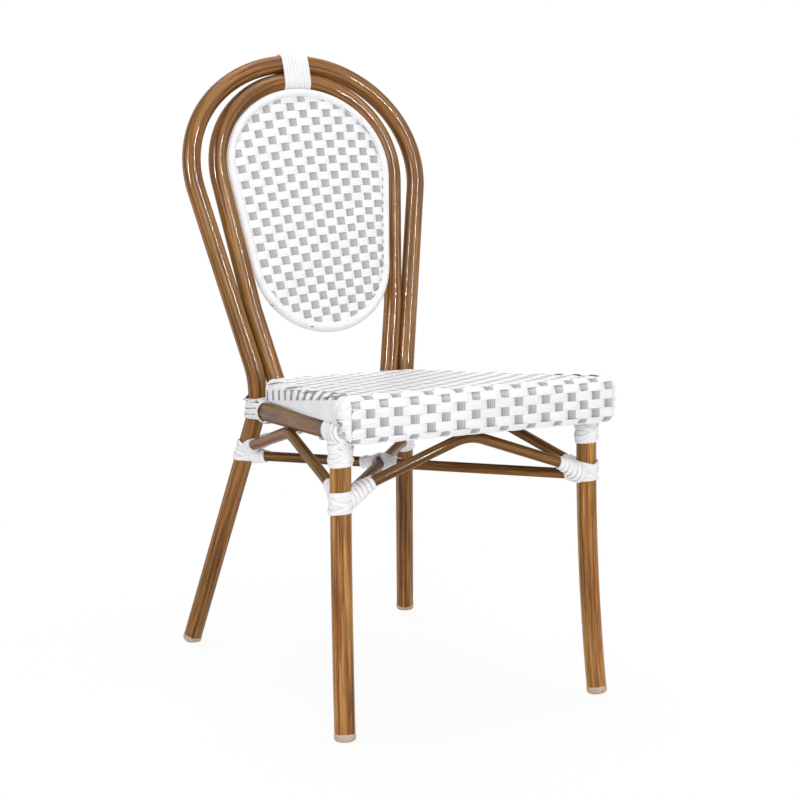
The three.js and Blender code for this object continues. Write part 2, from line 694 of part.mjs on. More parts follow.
function addApronBar() {
  const x = seatFrontHalf - APRON_POST_INSET;
  const low = seatTop(apronBarY) - APRON_DEPTH + apronHemRadius;
  const high = seatTop(apronBarY + APRON_BAR_DIAMETER / 2) - SEAT_DEPTH + WEAVE_THICKNESS;
  const top = (side) => vector(side * x, apronBarY, high);
  const corner = (side) => vector(side * x, apronBarY, low);
  const points = [
    top(-1),
    ...bend(top(-1), corner(-1), corner(1), APRON_POST_BEND, POST_STEPS),
    ...bend(corner(-1), corner(1), top(1), APRON_POST_BEND, POST_STEPS),
    top(1),
  ];
  add("apron_bar", tube(points, APRON_BAR_DIAMETER, APRON_BAR_WALL, BRACE_SIDES), "metal");
}

function addSeatScrews() {
  for (const [name, side, y] of [
    ["front_left", -1, screwFrontY], ["front_right", 1, screwFrontY],
    ["rear_left", -1, screwRearY], ["rear_right", 1, screwRearY],
  ]) {
    const place = screwPlace(side, y);
    const seat = place.z - TUBE_DIAMETER / 2 - TOUCH;
    const tip = seatTop(y) - SEAT_DEPTH + SCREW_INTO_FRAME - seat;
    const [head, shank] = [SCREW_HEAD_DIAMETER / 2, SCREW_DIAMETER / 2];
    const profile = [
      [0, -SCREW_HEAD_HEIGHT], [head * Math.SQRT1_2, -SCREW_HEAD_HEIGHT], [head, -SCREW_HEAD_HEIGHT / 3],
      [head, 0], [shank, 0], [shank, tip - shank], [0, tip],
    ].map(([x, z]) => new THREE.Vector2(x, z));
    const screw = new THREE.LatheGeometry(profile, SCREW_SIDES).rotateX(Math.PI / 2);
    add(`seat_screw_${name}`, screw.translate(place.x, place.y, seat), "metal");
  }
}

// Back panel: its rim lies in the nook in front of the inner loop
const nook = TUBE_DIAMETER / 2 + BINDING_DIAMETER / 2 + TOUCH;
const rimInset = Math.sqrt(nook ** 2 - PANEL_FORWARD ** 2);

function rimStations() {
  const slide = rimInset * Math.sqrt(1 + innerSlope ** 2);
  const lineStart = innerLineStart - slide;
  const top = innerTop - rimInset - TUBE_TO_STRIP - STRIP_THICKNESS;
  const halfWidth = innerHalfWidth - rimInset;
  const upperCentre = touchingCentre(halfWidth, top, lineStart, innerSlope);
  const upper = ellipseArc(halfWidth, upperCentre, top, innerSlope, LOOP_STEPS);
  const turn = touchingEllipse(PANEL_BOTTOM, PANEL_TURN_UP, lineStart, innerSlope);
  const lower = ellipseArc(turn.halfWidth, turn.centre, PANEL_BOTTOM, innerSlope, PANEL_LOWER_STEPS);
  const path = [...upper, ...lower.reverse()];
  return path.map((point, i) => {
    const a = path[(i + path.length - 1) % path.length];
    const b = path[(i + 1) % path.length];
    return { point, normal: new THREE.Vector2(b.y - a.y, a.x - b.x).normalize() };
  });
}

const rim = rimStations();
function rimPoint(station, outward, forward) {
  const place = station.point.clone().addScaledVector(station.normal, outward);
  return onBack(place.x, place.y, PANEL_FORWARD + forward);
}

function sweepRim(section) {
  return loft(rim.map((station) => section.map(([out, forward]) => rimPoint(station, out, forward))), true);
}

function arcPoints(radius, opening, count) {
  const gap = Math.asin(opening / 2 / radius);
  return Array.from({ length: count }, (_, i) => {
    const angle = -Math.PI + gap + ((2 * Math.PI - 2 * gap) * i) / (count - 1);
    return [radius * Math.cos(angle), radius * Math.sin(angle)];
  });
}

function addBackPanel() {
  const slot = PANEL_THICKNESS + 2 * TOUCH;
  const bore = BINDING_DIAMETER / 2 - BINDING_WALL;
  const outside = arcPoints(BINDING_DIAMETER / 2, slot, BINDING_POINTS);
  const inside = arcPoints(bore, slot, BINDING_POINTS - 2).reverse();
  add("panel_binding", sweepRim([...outside, ...inside]), "white");
  const hoop = circlePoints(bore - HOOP_PLAY, HOOP_SIDES).map((p) => [p.x, p.y]);
  add("panel_hoop", sweepRim(hoop), "metal");
  const edge = HOOP_PLAY - bore - TOUCH;
  const face = (forward) => rim.map((station) => rimPoint(station, edge, forward));
  add("panel_weave", loft([face(PANEL_THICKNESS / 2), face(-PANEL_THICKNESS / 2)]), "white");
}

// Lashings. Each is one flat strip wound round a tube or a pair of tubes.
// On the side that braces come from, its turns may draw together to pass them by.
const stripInner = (tubeDiameter) => tubeDiameter / 2 + TUBE_TO_STRIP;

// Zones are stretches along the tube, and drawnAt is the angle where the turns are drawn together.
function lashing(options) {
  const { place, radius, turns, zone, drawn = zone, drawnAt = 0 } = options;
  const { steps = MAIN_SIDES, gap = STRIP_GAP } = options;
  const rings = [];
  const total = turns * steps;
  for (let i = 0; i <= total; i += 1) {
    const angle = (2 * Math.PI * (i + 0.5)) / steps;
    const turned = i / steps;
    const off = Math.abs(THREE.MathUtils.euclideanModulo(angle - drawnAt + Math.PI, 2 * Math.PI) - Math.PI);
    const share = 1 - smoothstep(off, degrees(DRAWN_FULL_DEGREES), degrees(DRAWN_END_DEGREES));
    const low = mix(zone[0], drawn[0], share);
    const high = mix(zone[1], drawn[1], share);
    const pitch = (high - low) / (turns + 1);
    const { centre, along, out, half } = place(low + pitch * (turned + 0.5));
    const across = along.clone().cross(out);
    const radial = out.clone().multiplyScalar(Math.cos(angle)).addScaledVector(across, Math.sin(angle));
    const middle = centre.clone().addScaledVector(out, half * Math.sign(Math.cos(angle)));
    const width = pitch - gap;
    const corner = (lift, slide) => (
      middle.clone().addScaledVector(radial, lift).addScaledVector(along, slide)
    );
    rings.push([
      corner(radius, -width / 2), corner(radius + STRIP_THICKNESS, -width / 2),
      corner(radius + STRIP_THICKNESS, width / 2), corner(radius, width / 2),
    ]);
  }
  const straight = (from, next) => from.map((p, j) => towards(p, next[j], -STRIP_THICKNESS));
  rings.unshift(straight(rings[0], rings[1]));
  rings.push(straight(rings[rings.length - 1], rings[rings.length - 2]));
  return rings;
}

// Least distance from any turn's corners to the edges of the other turns
function leastGap(rings, steps) {
  const line = new THREE.Line3();
  const near = vector(0, 0, 0);
  let least = Infinity;
  rings.forEach((ring, i) => {
    for (let j = i + Math.round(steps * TURN_AWAY_SHARE); j < rings.length - 1; j += 1) {
      ring.forEach((point) => rings[j].forEach((start, k) => {
        line.set(start, rings[j + 1][k]).closestPointToPoint(point, true, near);
        least = Math.min(least, near.distanceTo(point));
      }));
    }
  });
  return least;
}

function addLashing(name, options) {
  const rings = lashing(options);
  const least = leastGap(rings, options.steps ?? MAIN_SIDES);
  add(name, loft(rings), "white");
  console.log(`${name}: least gap between turns ${least.toFixed(2)} mm`);
}

// A place on a leg by height, its out direction pointing level to where the braces leave
function onLeg(name, toward) {
  return (height) => {
    const { centre, along } = legs[name].atHeight(height);
    const out = toward.clone().addScaledVector(along, -toward.dot(along)).normalize();
    return { centre, along, out, half: 0 };
  };
}

function onLine(start, direction) {
  const out = vector(0, 0, 1).addScaledVector(direction, -direction.z).normalize();
  return (distance) => ({
    centre: start.clone().addScaledVector(direction, distance), along: direction, out, half: 0,
  });
}

const legStrip = stripInner(TUBE_DIAMETER);
const braceStrip = stripInner(BRACE_DIAMETER);
const pairStrip = legStrip + PAIR_ROOM;

function lowerZones(end) {
  const [size, landing] = end === "front" ? [LOWER_FRONT, crossFrontLanding] : [LOWER_REAR, crossRearLanding];
  const drawnTop = landing - BRACE_DIAMETER / 2 - DRAWN_TO_BRACE;
  return {
    turns: size.turns,
    zone: [landing - size.belowCross, archLanding + size.aboveArch],
    drawn: [drawnTop - size.drawnLength, drawnTop],
  };
}

function addLegLashings() {
  const upperTop = frontRailHeight - RAIL_BAR_DIAMETER / 2 - UPPER.belowRail;
  for (const [name, x, y] of [
    ["front_left", 1, 1], ["front_right", -1, 1], ["rear_left", 1, -1], ["rear_right", -1, -1],
  ]) {
    const place = onLeg(name, vector(x, y, 0).normalize());
    const end = name.split("_")[0];
    addLashing(`lower_lashing_${name}`, { place, radius: legStrip, ...lowerZones(end) });
    if (end === "front") {
      const zone = [upperTop - UPPER.length, upperTop];
      addLashing(`upper_lashing_${name}`, { place, radius: legStrip, turns: UPPER.turns, zone });
    }
  }
}

// Turns and stretch of a sleeve along a tube that leaves another tube's axis
function sleeve(size, leftDiameter) {
  const start = leftDiameter / 2 + size.fromTube;
  return { turns: size.turns, zone: [start, start + size.length] };
}

function railLine(side) {
  const [front, rear] = sideRailEnds(side);
  return { start: front, direction: rear.clone().sub(front).normalize() };
}

function railLashingRelief(side) {
  const { start, direction } = railLine(side);
  const [near, far] = sleeve(RAIL_SLEEVE, TUBE_DIAMETER).zone;
  const reach = [near - RELIEF_PAST_SLEEVE, far + RELIEF_PAST_SLEEVE].map((distance) => (
    start.clone().addScaledVector(direction, distance)
  ));
  const radius = (legStrip + STRIP_THICKNESS + STRIP_THICKNESS / 2) / Math.cos(Math.PI / MAIN_SIDES);
  return tube(reach, 2 * radius, 0, MAIN_SIDES);
}

function onBrace(start, direction) {
  return { place: onLine(start, direction), radius: braceStrip, steps: BRACE_SIDES };
}

function addBraceLashings() {
  for (const [name, side] of [["left", -1], ["right", 1]]) {
    const { start, direction } = railLine(side);
    addLashing(`rail_lashing_${name}`, {
      place: onLine(start, direction), radius: legStrip, ...sleeve(RAIL_SLEEVE, TUBE_DIAMETER),
    });
  }
  for (const [name, points] of Object.entries(arches)) {
    for (const [end, list] of [["start", points], ["end", [...points].reverse()]]) {
      const direction = list[1].clone().sub(list[0]).normalize();
      addLashing(`arch_lashing_${name}_${end}`, {
        ...onBrace(list[0], direction), ...sleeve(ARCH_SLEEVE, TUBE_DIAMETER),
      });
    }
  }
  for (const [name, start] of Object.entries(crossEnds)) {
    const direction = crossing.clone().sub(start).normalize();
    addLashing(`cross_lashing_${name}`, {
      ...onBrace(start, direction), ...sleeve(CROSS_SLEEVE, TUBE_DIAMETER),
    });
  }
  for (const [name, end] of [["front", crossEnds.front_right], ["rear", crossEnds.rear_left]]) {
    const direction = end.clone().sub(crossing).normalize();
    addLashing(`crossing_lashing_${name}`, {
      ...onBrace(crossing, direction), ...sleeve(CROSSING_SLEEVE, BRACE_DIAMETER),
    });
  }
}

// Round a rear leg and the inner loop's end beside it
function addRearPairLashings() {
  const inner = innerLoopPoints();
  const count = INNER_BEND_STEPS + 1;
  const routes = {
    rear_right: new Route(inner.slice(0, count)),
    rear_left: new Route(inner.slice(-count).reverse()),
  };
  const railTop = sideRailEnds(1)[1].z + TUBE_DIAMETER / 2;
  const [low, drawnLow] = [railTop - PAIR.belowRailTop, railTop + PAIR.drawnAboveRailTop];
  for (const [name, route] of Object.entries(routes)) {
    const place = (height) => {
      const leg = legs[name].atHeight(height);
      const beside = route.atHeight(height);
      const along = leg.along.clone().add(beside.along).normalize();
      const toward = beside.centre.clone().sub(leg.centre);
      const across = toward.dot(along);
      const out = toward.clone().addScaledVector(along, -across).normalize();
      return { centre: leg.centre.clone().lerp(beside.centre, 1 / 2), along, out, half: toward.dot(out) / 2 };
    };
    const drawnAt = degrees(name === "rear_right" ? PAIR_DRAWN_AT_DEGREES : -PAIR_DRAWN_AT_DEGREES);
    addLashing(`seat_lashing_${name}`, {
      place, radius: pairStrip, turns: PAIR.turns, gap: PAIR_GAP, drawnAt,
      zone: [low, low + PAIR.length], drawn: [drawnLow, drawnLow + PAIR.drawnLength],
    });
  }
}

// Round both loops at the top of the back, its turns side by side
function addTopLashing() {
  const heightOf = (halfWidth, centre, end, x) => (
    centre + (end - centre) * Math.sqrt(1 - (x / halfWidth) ** 2)
  );
  const place = (x) => {
    const outer = heightOf(LOOP_HALF_WIDTH, outerCentre, LOOP_TOP, x);
    const inner = heightOf(innerHalfWidth, innerCentre, innerTop, x);
    return {
      centre: onBack(x, (outer + inner) / 2), out: upBack, half: (outer - inner) / 2, along: vector(1, 0, 0),
    };
  };
  addLashing("top_lashing", {
    place, radius: legStrip, turns: TOP.turns, zone: [-TOP.halfLength, TOP.halfLength],
  });
}

const sideRailCutters = [-1, 1].map((side) => tube(sideRailEnds(side), grown(TUBE_DIAMETER), 0, MAIN_SIDES));

addLegsAndLoops();
addFeet();
addRails();
addBraces();
addSeatFrame();
addApronBar();
addSeatCover();
addSeatScrews();
addBackPanel();
addLegLashings();
addBraceLashings();
addRearPairLashings();
addTopLashing();

// The box of the whole chair is centred over the origin
const box = new THREE.Box3().setFromObject(chair);
chair.position.set(-(box.min.x + box.max.x) / 2, -(box.min.y + box.max.y) / 2, 0);

export default chair;
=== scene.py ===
import math
import bmesh
import bpy
from mathutils import Matrix, Vector, noise as wander


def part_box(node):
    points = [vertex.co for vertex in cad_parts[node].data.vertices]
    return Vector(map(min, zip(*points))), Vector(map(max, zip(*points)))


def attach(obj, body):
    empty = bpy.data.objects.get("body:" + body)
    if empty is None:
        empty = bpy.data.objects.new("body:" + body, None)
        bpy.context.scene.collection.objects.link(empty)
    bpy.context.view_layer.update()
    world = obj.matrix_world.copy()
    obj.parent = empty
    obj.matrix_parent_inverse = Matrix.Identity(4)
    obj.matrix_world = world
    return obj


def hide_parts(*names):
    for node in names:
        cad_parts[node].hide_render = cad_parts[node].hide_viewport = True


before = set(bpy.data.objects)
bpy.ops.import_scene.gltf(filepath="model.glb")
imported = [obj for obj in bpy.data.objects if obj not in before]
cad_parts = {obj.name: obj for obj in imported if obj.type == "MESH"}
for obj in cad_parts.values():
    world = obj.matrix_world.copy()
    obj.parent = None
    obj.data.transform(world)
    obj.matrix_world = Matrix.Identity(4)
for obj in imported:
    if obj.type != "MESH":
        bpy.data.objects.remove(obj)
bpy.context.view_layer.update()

# The looks of a stacking cafe chair: painted cane tubes, woven seat and back, wound joints.
# Sizes are in millimetres on the axes of the part's own drawing. They are moved on to the shared
# frame and become metres only when a mesh is made.

# Tubes
TUBE = 28
BRACE = 15
RAIL_BAR = 22
RAIL_END_IN_LEG = 7
TOUCH = 0.3

# Front legs
FRONT_LEG_X = 194.5
FRONT_LEG_Y = -182.8
FRONT_BEND_BELOW_TOP = 25
FRONT_FOOT_OUT = 8
FRONT_FOOT_FORWARD = 24.3

# Rear legs and back loops
REAR_FOOT_X = 194.6
REAR_FOOT_Y = 325.4
CORNER_X = 123.1
CORNER_Y = 205.1
CORNER_BELOW_SEAT = 25.6
CORNER_BEND_RADIUS = 140
BACK_LEAN = math.radians(14.87)
OUTER_SLOPE = math.tan(math.radians(12.07))
INNER_SLOPE = math.tan(math.radians(7.97))
LOOP_HALF_WIDTH = 193.2
LOOP_TOP = 514.3
LOOPS_APART = 42.7
INNER_BEND_UP = 126.9
INNER_BEND_RADIUS = 160
INNER_END_BELOW = 22
FOOT_HEIGHT = 10

# Seat
SEAT_FRONT_Y = -232
SEAT_REAR_Y = 184
SEAT_FRONT_HALF = 219.5
SEAT_REAR_HALF = 133
SEAT_FRONT_HEIGHT = 455.4
SEAT_REAR_HEIGHT = 428
SEAT_DEPTH = 34
SEAT_FRONT_CORNER = 18
SEAT_REAR_CORNER = 42
SEAT_ROLL = 16
HEM_RADIUS = 5
HEM_TURN = math.radians(90)
APRON_DEPTH = 62
APRON_HEM_RADIUS = 9
APRON_HEM_TURN = math.radians(112)
APRON_STARTS_SHARE = 0.3
APRON_FULL_SHARE = 0.96
BAND_FROM_FRONT = 28
BAND_FROM_REAR = 34
SEAM_FRONT_DROP = 5.7
SEAM_REAR_DROP = 31.5

# Back panel
PANEL_FORWARD = 10
PANEL_BOTTOM = 95.2
BINDING = 12.6
STRIP_ROOM = 2.9

# Braces
CROSS_RAIL_DROP = 4.2
ARCH_BELOW_RAIL = 85.9
ARCH_BEND_RADIUS = 70
CROSS_FRONT_DROP = 6
CROSS_REAR_DROP = 12

# Smoothness
TUBE_SIDES = 32
BRACE_SIDES = 24
ARC_STEPS = 96
CORNER_STEPS = 20
PLAN_CORNER_STEPS = 16

# Flat cane of the weave
CANE_THICKNESS = 0.9
CANE_CROWN = 0.25
RIBBON_POINTS = 7
ROW_COVER = 0.985
WARP_LIFT = 0.55
WEFT_LIFT = 0.8
RIB_SPACING = 3.1
WHITE_TONE = (0.90, 0.89, 0.905)

# Seat weave; a warp's drift is listed by its number
WARP_FIRST_X = -197.2
WARP_PITCH = 21.816
WARP_COUNT = 19
WARP_WIDTH = 12.5
WARP_DRIFT = [(0, 0), (3, -4), (5, 1), (10, 5.5), (14, 5), (18, 0)]
WARPS_MIDDLE_X = 7
WEAVE_BASE = -1.1
TOP_RELIEF = 0.45
TOP_ROW_PITCH = 17.3
APRON_ROW_PITCH = 12.03
APRON_FIRST_ROW = 20.7
APRON_ROWS = 6
APRON_WEFT_PAST_CORNER = 20
APRON_WEFT_STEPS = 260
REAR_ROWS = 3
REAR_WEFT_INSET = 6
REAR_WEFT_STEPS = 150
HEM_END = 84
WALL_STEP = 1.6
TOP_STEP = 2.2
ACROSS_STEP = 2.4
SIDE_STEP = 1.8
WARP_STOPS_INSIDE = 5
WARP_SINKS_INSIDE = (4, 16)
APRON_WEFT_SINKS = (8, 22)
SIDE_WEFT_SINKS = (6, 11)
SEAM_LAP = 2
SIDE_WARP_WIDTH = 14
SIDE_WARP_LAP = -1.5
SIDE_WARP_LIFT = 1.1
SIDE_WARP_CROWN = 0.2
SIDE_WEFT_LIFT = 0.3
BAND_STEPS = 240

# Back weave, whose warps lean in and whose rows tilt from one height to another
BACK_HIGH = 368.75
BACK_LOW = 190.0
BACK_MIDDLE = 6
BACK_MIDDLE_X = (3.0, 10.25)
BACK_COLUMN_PITCH = (19.58, 17.04)
BACK_COLUMN_FAN = 0.125
BACK_TILT_X = 78
BACK_BOW = 0.00044
BACK_SLANT = 0.103
BACK_SLANT_END_X = 90
BACK_COLUMNS = 14
BACK_WARP_WIDTH = 12.3
BACK_ROW_FIRST = 456.25
BACK_ROW_PITCH = 12.43
BACK_ROWS = 31

# Winding round the panel's rim; the gaps that get strips of painted shade, and the staples, are given across
# and up the panel
PANEL_TURN_UP = 191.42
RIM_STEP = 1.6
RIM_SIDES = 24
RIM_TURN = 7.5
RIM_DENT = 0.32
RIM_HEAVY_BELOW = 200
RIM_HEAVY_FADE = 90
RIM_HEAVY_SHARE = 0.2
RIM_HEAVY_OUT = 1.6
RIM_SHADE_GAPS = [
    ((-111, 417.5), (-96, 419)), ((-50, 456.5), (-37, 459)), ((31, 460), (59, 450)), ((72, 440), (82, 433)),
    ((100, 414), (112, 400)), ((117, 379), (121, 368)),
]
RIM_STAPLES = [((-99.5, 132), (-94.5, 129.5)), ((-37, 95.3), (-31.5, 94.6))]
# Short strips of painted shade along the right half of the rim's inner edge
SEAM_PITCH = 12.4
SEAM_LENGTH = 5
SEAMS_FROM = 130
SEAMS_TO = 330

# Wound joints. A zone runs along the tube, and a wrap is a zone with its first radius and its sag.
# A strap is given by its place and its tilt, or at the crossing by its height over the brace and its
# tilt, and a strand by its height on the leg and its end's angle round the rail.
LASH_SIDES = 40
STRIP_OUT = 1.5
STRIP_DEEP = 1.5
STRIP_CROWN = 0.75
STRIP_SHOULDERS = 2.4
STRAP_OVER = 1.2
STRAP_WIDTH = 6
TUCK = 2.2
TUCK_TURN = 0.11
SLIT = 0.16
WIDE_SLIT = 0.3
LOWER_TURNS = 4
LOWER_STRAP_WIDTH = 6.5
UPPER_TURNS = 9
UPPER_BELOW_RAIL = 33
UPPER_STRAPS = ((-14, 9), (-14, -9), (6, 12))
RAIL_ZONE = (-24, 31)
RAIL_TURNS = 8
RAIL_DOME = (-21, 15)
RAIL_COIL_OUT = 1.4
RAIL_STRAPS = ((-2, 7), (6, -8))
ARCH_TURNS = 6
ARCH_WRAP = ((9, 44), 11.5, 2)
FRONT_ARCH_WRAP = ((7, 54), 15, 6)
CROSS_TURNS = 3
CROSS_ZONE = (12, 31)
LONG_CROSS_ZONE = (12, 42)
CROSS_FIRST_RADIUS = 11.5
CROSSING_ZONE = (0, 32)
CROSSING_TURNS = 5
CROSSING_COIL_OUT = 0.4
CROSSING_STRAPS = ((1.5, 21), (3, 16), (4.2, 11))
CROSSING_STRAP_WIDTH = 5.2
TOP_ZONE = (-29.3, 20.7)
TOP_TURNS = 8
PAIR_ZONE = (370, 400)
PAIR_TURNS = 3
PAIR_STRANDS = ((394.5, 70), (385, 38), (375.5, 6), (367.5, -26))
STRAND_RING_ZONE = (53, 68)
STRAND_REACH = 60
STRAND_WIDTH = 8.4

# Light and camera; a lamp has a place and a size in metres and a power in watts
ROOM_LIGHT = 0.52
FLOOR_WHITE_SHARE = 0.9
LAMPS = [
    ("key", (-1.6, -2.6, 1.3), (1.2, 1.2), 34),
    ("fill", (2.6, -1.6, 1.7), (0.5, 2.2), 11),
    ("above", (0.1, 0.2, 3.0), (1.8, 1.8), 33),
    ("rear", (0.6, 2.6, 2.2), (1.6, 1.2), 18),
    ("left_glint", (-2.9, -0.7, 1.9), (0.1, 1.7), 190),
    ("middle_glint", (0.9, -2.9, 1.9), (0.1, 1.7), 190),
]
LAMP_TARGET = Vector((0, 0, 0.45))
CAMERA_PLACE = Vector((-1171.4, -2042.05, 738.0))
CAMERA_TARGET = Vector((-1.57, 0, 409.0))
LENS = 74.6

# Sides and ways that many functions share
SIDES = (("left", -1), ("right", 1))
ACROSS = Vector((1, 0, 0))
BEHIND = Vector((0, 1, 0))
UP = Vector((0, 0, 1))
SHIFT_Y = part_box("seat_weave")[0].y * 1000 - SEAT_FRONT_Y


def metres(point):
    return Vector((point.x, point.y + SHIFT_Y, point.z)) / 1000


def mix(a, b, share):
    return a + (b - a) * share


def smoothstep(value, start, end):
    share = min(max((value - start) / (end - start), 0), 1)
    return share * share * (3 - 2 * share)


# Node trees

def fill(tree, made, inputs):
    """Set inputs of a node: a socket is linked and any other value written in."""
    for key, value in inputs.items():
        if isinstance(value, bpy.types.NodeSocket):
            tree.links.new(value, made.inputs[key])
        else:
            made.inputs[key].default_value = value


def node(tree, kind, inputs, **settings):
    made = tree.nodes.new(kind)
    for key, value in settings.items():
        setattr(made, key, value)
    fill(tree, made, inputs)
    return made


def ramp(tree, factor, stops):
    made = node(tree, "ShaderNodeValToRGB", {"Fac": factor})
    marks = made.color_ramp.elements
    while len(marks) < len(stops):
        marks.new(1)
    for mark, (place, colour) in zip(marks, stops):
        mark.position = place
        mark.color = (*colour, 1)
    return made.outputs["Color"]


def noise(tree, vector, scale, detail=2.0, roughness=0.5):
    stretched = node(tree, "ShaderNodeVectorMath", {0: vector, 1: scale}, operation="MULTIPLY")
    made = node(tree, "ShaderNodeTexNoise", {
        "Vector": stretched.outputs["Vector"], "Scale": 1.0, "Detail": detail, "Roughness": roughness,
    })
    return made.outputs["Fac"]


def maths(tree, operation, a, b=0.0, clamp=False):
    made = node(tree, "ShaderNodeMath", {0: a, 1: b}, operation=operation, use_clamp=clamp)
    return made.outputs["Value"]


def mapped(tree, value, low, high, start=0.0, end=1.0):
    made = node(tree, "ShaderNodeMapRange", {
        "Value": value, "From Min": start, "From Max": end, "To Min": low, "To Max": high,
    })
    return made.outputs["Result"]


def blend(tree, share, a, b, blend_type="MULTIPLY"):
    a, b = [value if isinstance(value, bpy.types.NodeSocket) else (*value, 1) for value in (a, b)]
    made = node(tree, "ShaderNodeMix", {0: share, 6: a, 7: b}, data_type="RGBA", blend_type=blend_type)
    return made.outputs[2]


def surface(name):
    material = bpy.data.materials.new(name)
    material.use_nodes = True
    tree = material.node_tree
    return material, tree, tree.nodes["Principled BSDF"]


def bump(tree, height, distance, strength):
    made = node(tree, "ShaderNodeBump", {"Height": height, "Distance": distance, "Strength": strength})
    return made.outputs["Normal"]


def grain_of(tree):
    """Metres along a piece, metres across or round it, and the lift over its plane."""
    return node(tree, "ShaderNodeAttribute", {}, attribute_name="grain").outputs["Vector"]


def part_of(tree, vector, axis):
    return node(tree, "ShaderNodeSeparateXYZ", {"Vector": vector}).outputs[axis]


def place_on(tree):
    return node(tree, "ShaderNodeTexCoord", {}).outputs["Object"]


# Materials

def cane_paint(name, share, gloss):
    """Wood-like streaks along a tube, under a clear coat; share scales its brightness, as painted light above
    one and painted shade below it.
    """
    material, tree, shader = surface(name)
    grain = grain_of(tree)
    streaks = noise(tree, grain, (5, 210, 210), 3, 0.6)
    body = ramp(tree, streaks, [
        (0.30, (0.10, 0.038, 0.010)), (0.42, (0.20, 0.085, 0.024)), (0.52, (0.31, 0.145, 0.045)),
        (0.64, (0.42, 0.215, 0.075)), (0.78, (0.56, 0.32, 0.13)),
    ])
    hues = noise(tree, grain, (3, 95, 95))
    tint = ramp(tree, hues, [(0.34, (0.85, 0.95, 0.6)), (0.48, (1, 1, 1)), (0.62, (1, 0.85, 0.75))])
    fine = noise(tree, grain, (26, 1150, 1150))
    lines = ramp(tree, fine, [
        (0.36, (0.5, 0.46, 0.42)), (0.5, (0.92, 0.92, 0.92)), (0.64, (1.25, 1.2, 1.1)),
    ])
    coloured = blend(tree, 0.7, blend(tree, 0.75, body, tint), lines)
    height = maths(tree, "ADD", fine, maths(tree, "MULTIPLY", streaks, 1.6))
    fill(tree, shader, {
        "Base Color": blend(tree, 1.0, coloured, (share, share, share * 0.94)),
        "Roughness": mapped(tree, fine, 0.28, 0.4),
        "Specular IOR Level": 0.06,
        "Coat Weight": gloss,
        "Coat Roughness": 0.04,
        "Normal": bump(tree, height, 0.0002, 0.3),
    })
    return material


def white_cane(name, edge=0.0):
    """White strip; edge is how much painted shade darkens its low shoulders, in patches, for the shade in the
    grooves between turns.
    """
    material, tree, shader = surface(name)
    grain = grain_of(tree)
    fibre = noise(tree, grain, (60, 1400, 1400))
    cloud = noise(tree, grain, (9, 40, 40))
    shade = ramp(tree, cloud, [(0.35, tuple(c * 0.94 for c in WHITE_TONE)), (0.65, WHITE_TONE)])
    lines = ramp(tree, fibre, [(0.3, (0.93, 0.925, 0.94)), (0.6, (1, 1, 1))])
    colour = blend(tree, 1.0, shade, lines)
    if edge:
        # Painted shade: the strip's low shoulders, where the grooves between turns lie, are darkened in
        # patches.
        risen = maths(tree, "MULTIPLY", part_of(tree, grain, "Z"), 2.5 / STRIP_CROWN * 1000, clamp=True)
        groove_shade_patches = noise(tree, grain, (70, 110, 0))
        deep = ramp(tree, groove_shade_patches, [(0.4, (1 - edge * 0.3,) * 3), (0.62, (1 - edge,) * 3)])
        colour = blend(tree, 1.0, colour, blend(tree, risen, deep, (1, 1, 1), "MIX"))
    fill(tree, shader, {
        "Base Color": colour, "Roughness": 0.48, "Specular IOR Level": 0.15,
        "Normal": bump(tree, fibre, 0.00012, 0.6),
    })
    return material


def grey_ribbed(name, share):
    """Ribbed grey strip, with painted shade darkening it towards one of its sides, for the shadow of the
    raised strands beside it.
    """
    material, tree, shader = surface(name)
    grain = grain_of(tree)
    across = part_of(tree, grain, "Y")
    ribs = maths(tree, "COSINE", maths(tree, "MULTIPLY", across, 2 * math.pi / RIB_SPACING * 1000))
    halved = node(tree, "ShaderNodeMath", {0: ribs, 1: 0.5, 2: 0.5}, operation="MULTIPLY_ADD")
    groove = halved.outputs["Value"]
    dirt = noise(tree, grain, (45, 900, 300), 3, 0.6)
    mixed = maths(tree, "ADD", maths(tree, "MULTIPLY", groove, 0.42), maths(tree, "MULTIPLY", dirt, 0.62))
    stops = [(0.22, (0.33, 0.33, 0.335)), (0.5, (0.46, 0.455, 0.465)), (0.8, (0.56, 0.555, 0.57))]
    tone = ramp(tree, mixed, [(place, tuple(share * c for c in colour)) for place, colour in stops])
    # Painted shade: darker towards one side of the strip, as if shadowed by the white strand next to it.
    slant = mapped(tree, across, 0.62, 1.02, -0.006, 0.004)
    fill(tree, shader, {
        "Base Color": blend(tree, 1.0, tone, slant), "Roughness": 0.5,
        "Normal": bump(tree, groove, 0.0003, 0.6),
    })
    return material


def foot_plastic():
    material, tree, shader = surface("foot_plastic")
    place = place_on(tree)
    speck = noise(tree, place, (900, 900, 900))
    cloud = noise(tree, place, (60, 60, 90))
    tone = ramp(tree, cloud, [(0.3, (0.48, 0.35, 0.26)), (0.7, (0.60, 0.45, 0.35))])
    dots = ramp(tree, speck, [(0.3, (0.86, 0.86, 0.86)), (0.6, (1, 1, 1))])
    fill(tree, shader, {
        "Base Color": blend(tree, 1.0, tone, dots), "Roughness": 0.55,
        "Normal": bump(tree, speck, 0.0001, 0.5),
    })
    return material


def bare_metal():
    material, tree, shader = surface("bare_metal")
    brushed = noise(tree, place_on(tree), (80, 900, 900))
    tone = ramp(tree, brushed, [(0.3, (0.52, 0.52, 0.53)), (0.7, (0.68, 0.68, 0.69))])
    fill(tree, shader, {"Base Color": tone, "Metallic": 1.0, "Roughness": mapped(tree, brushed, 0.28, 0.42)})
    return material


# Meshes

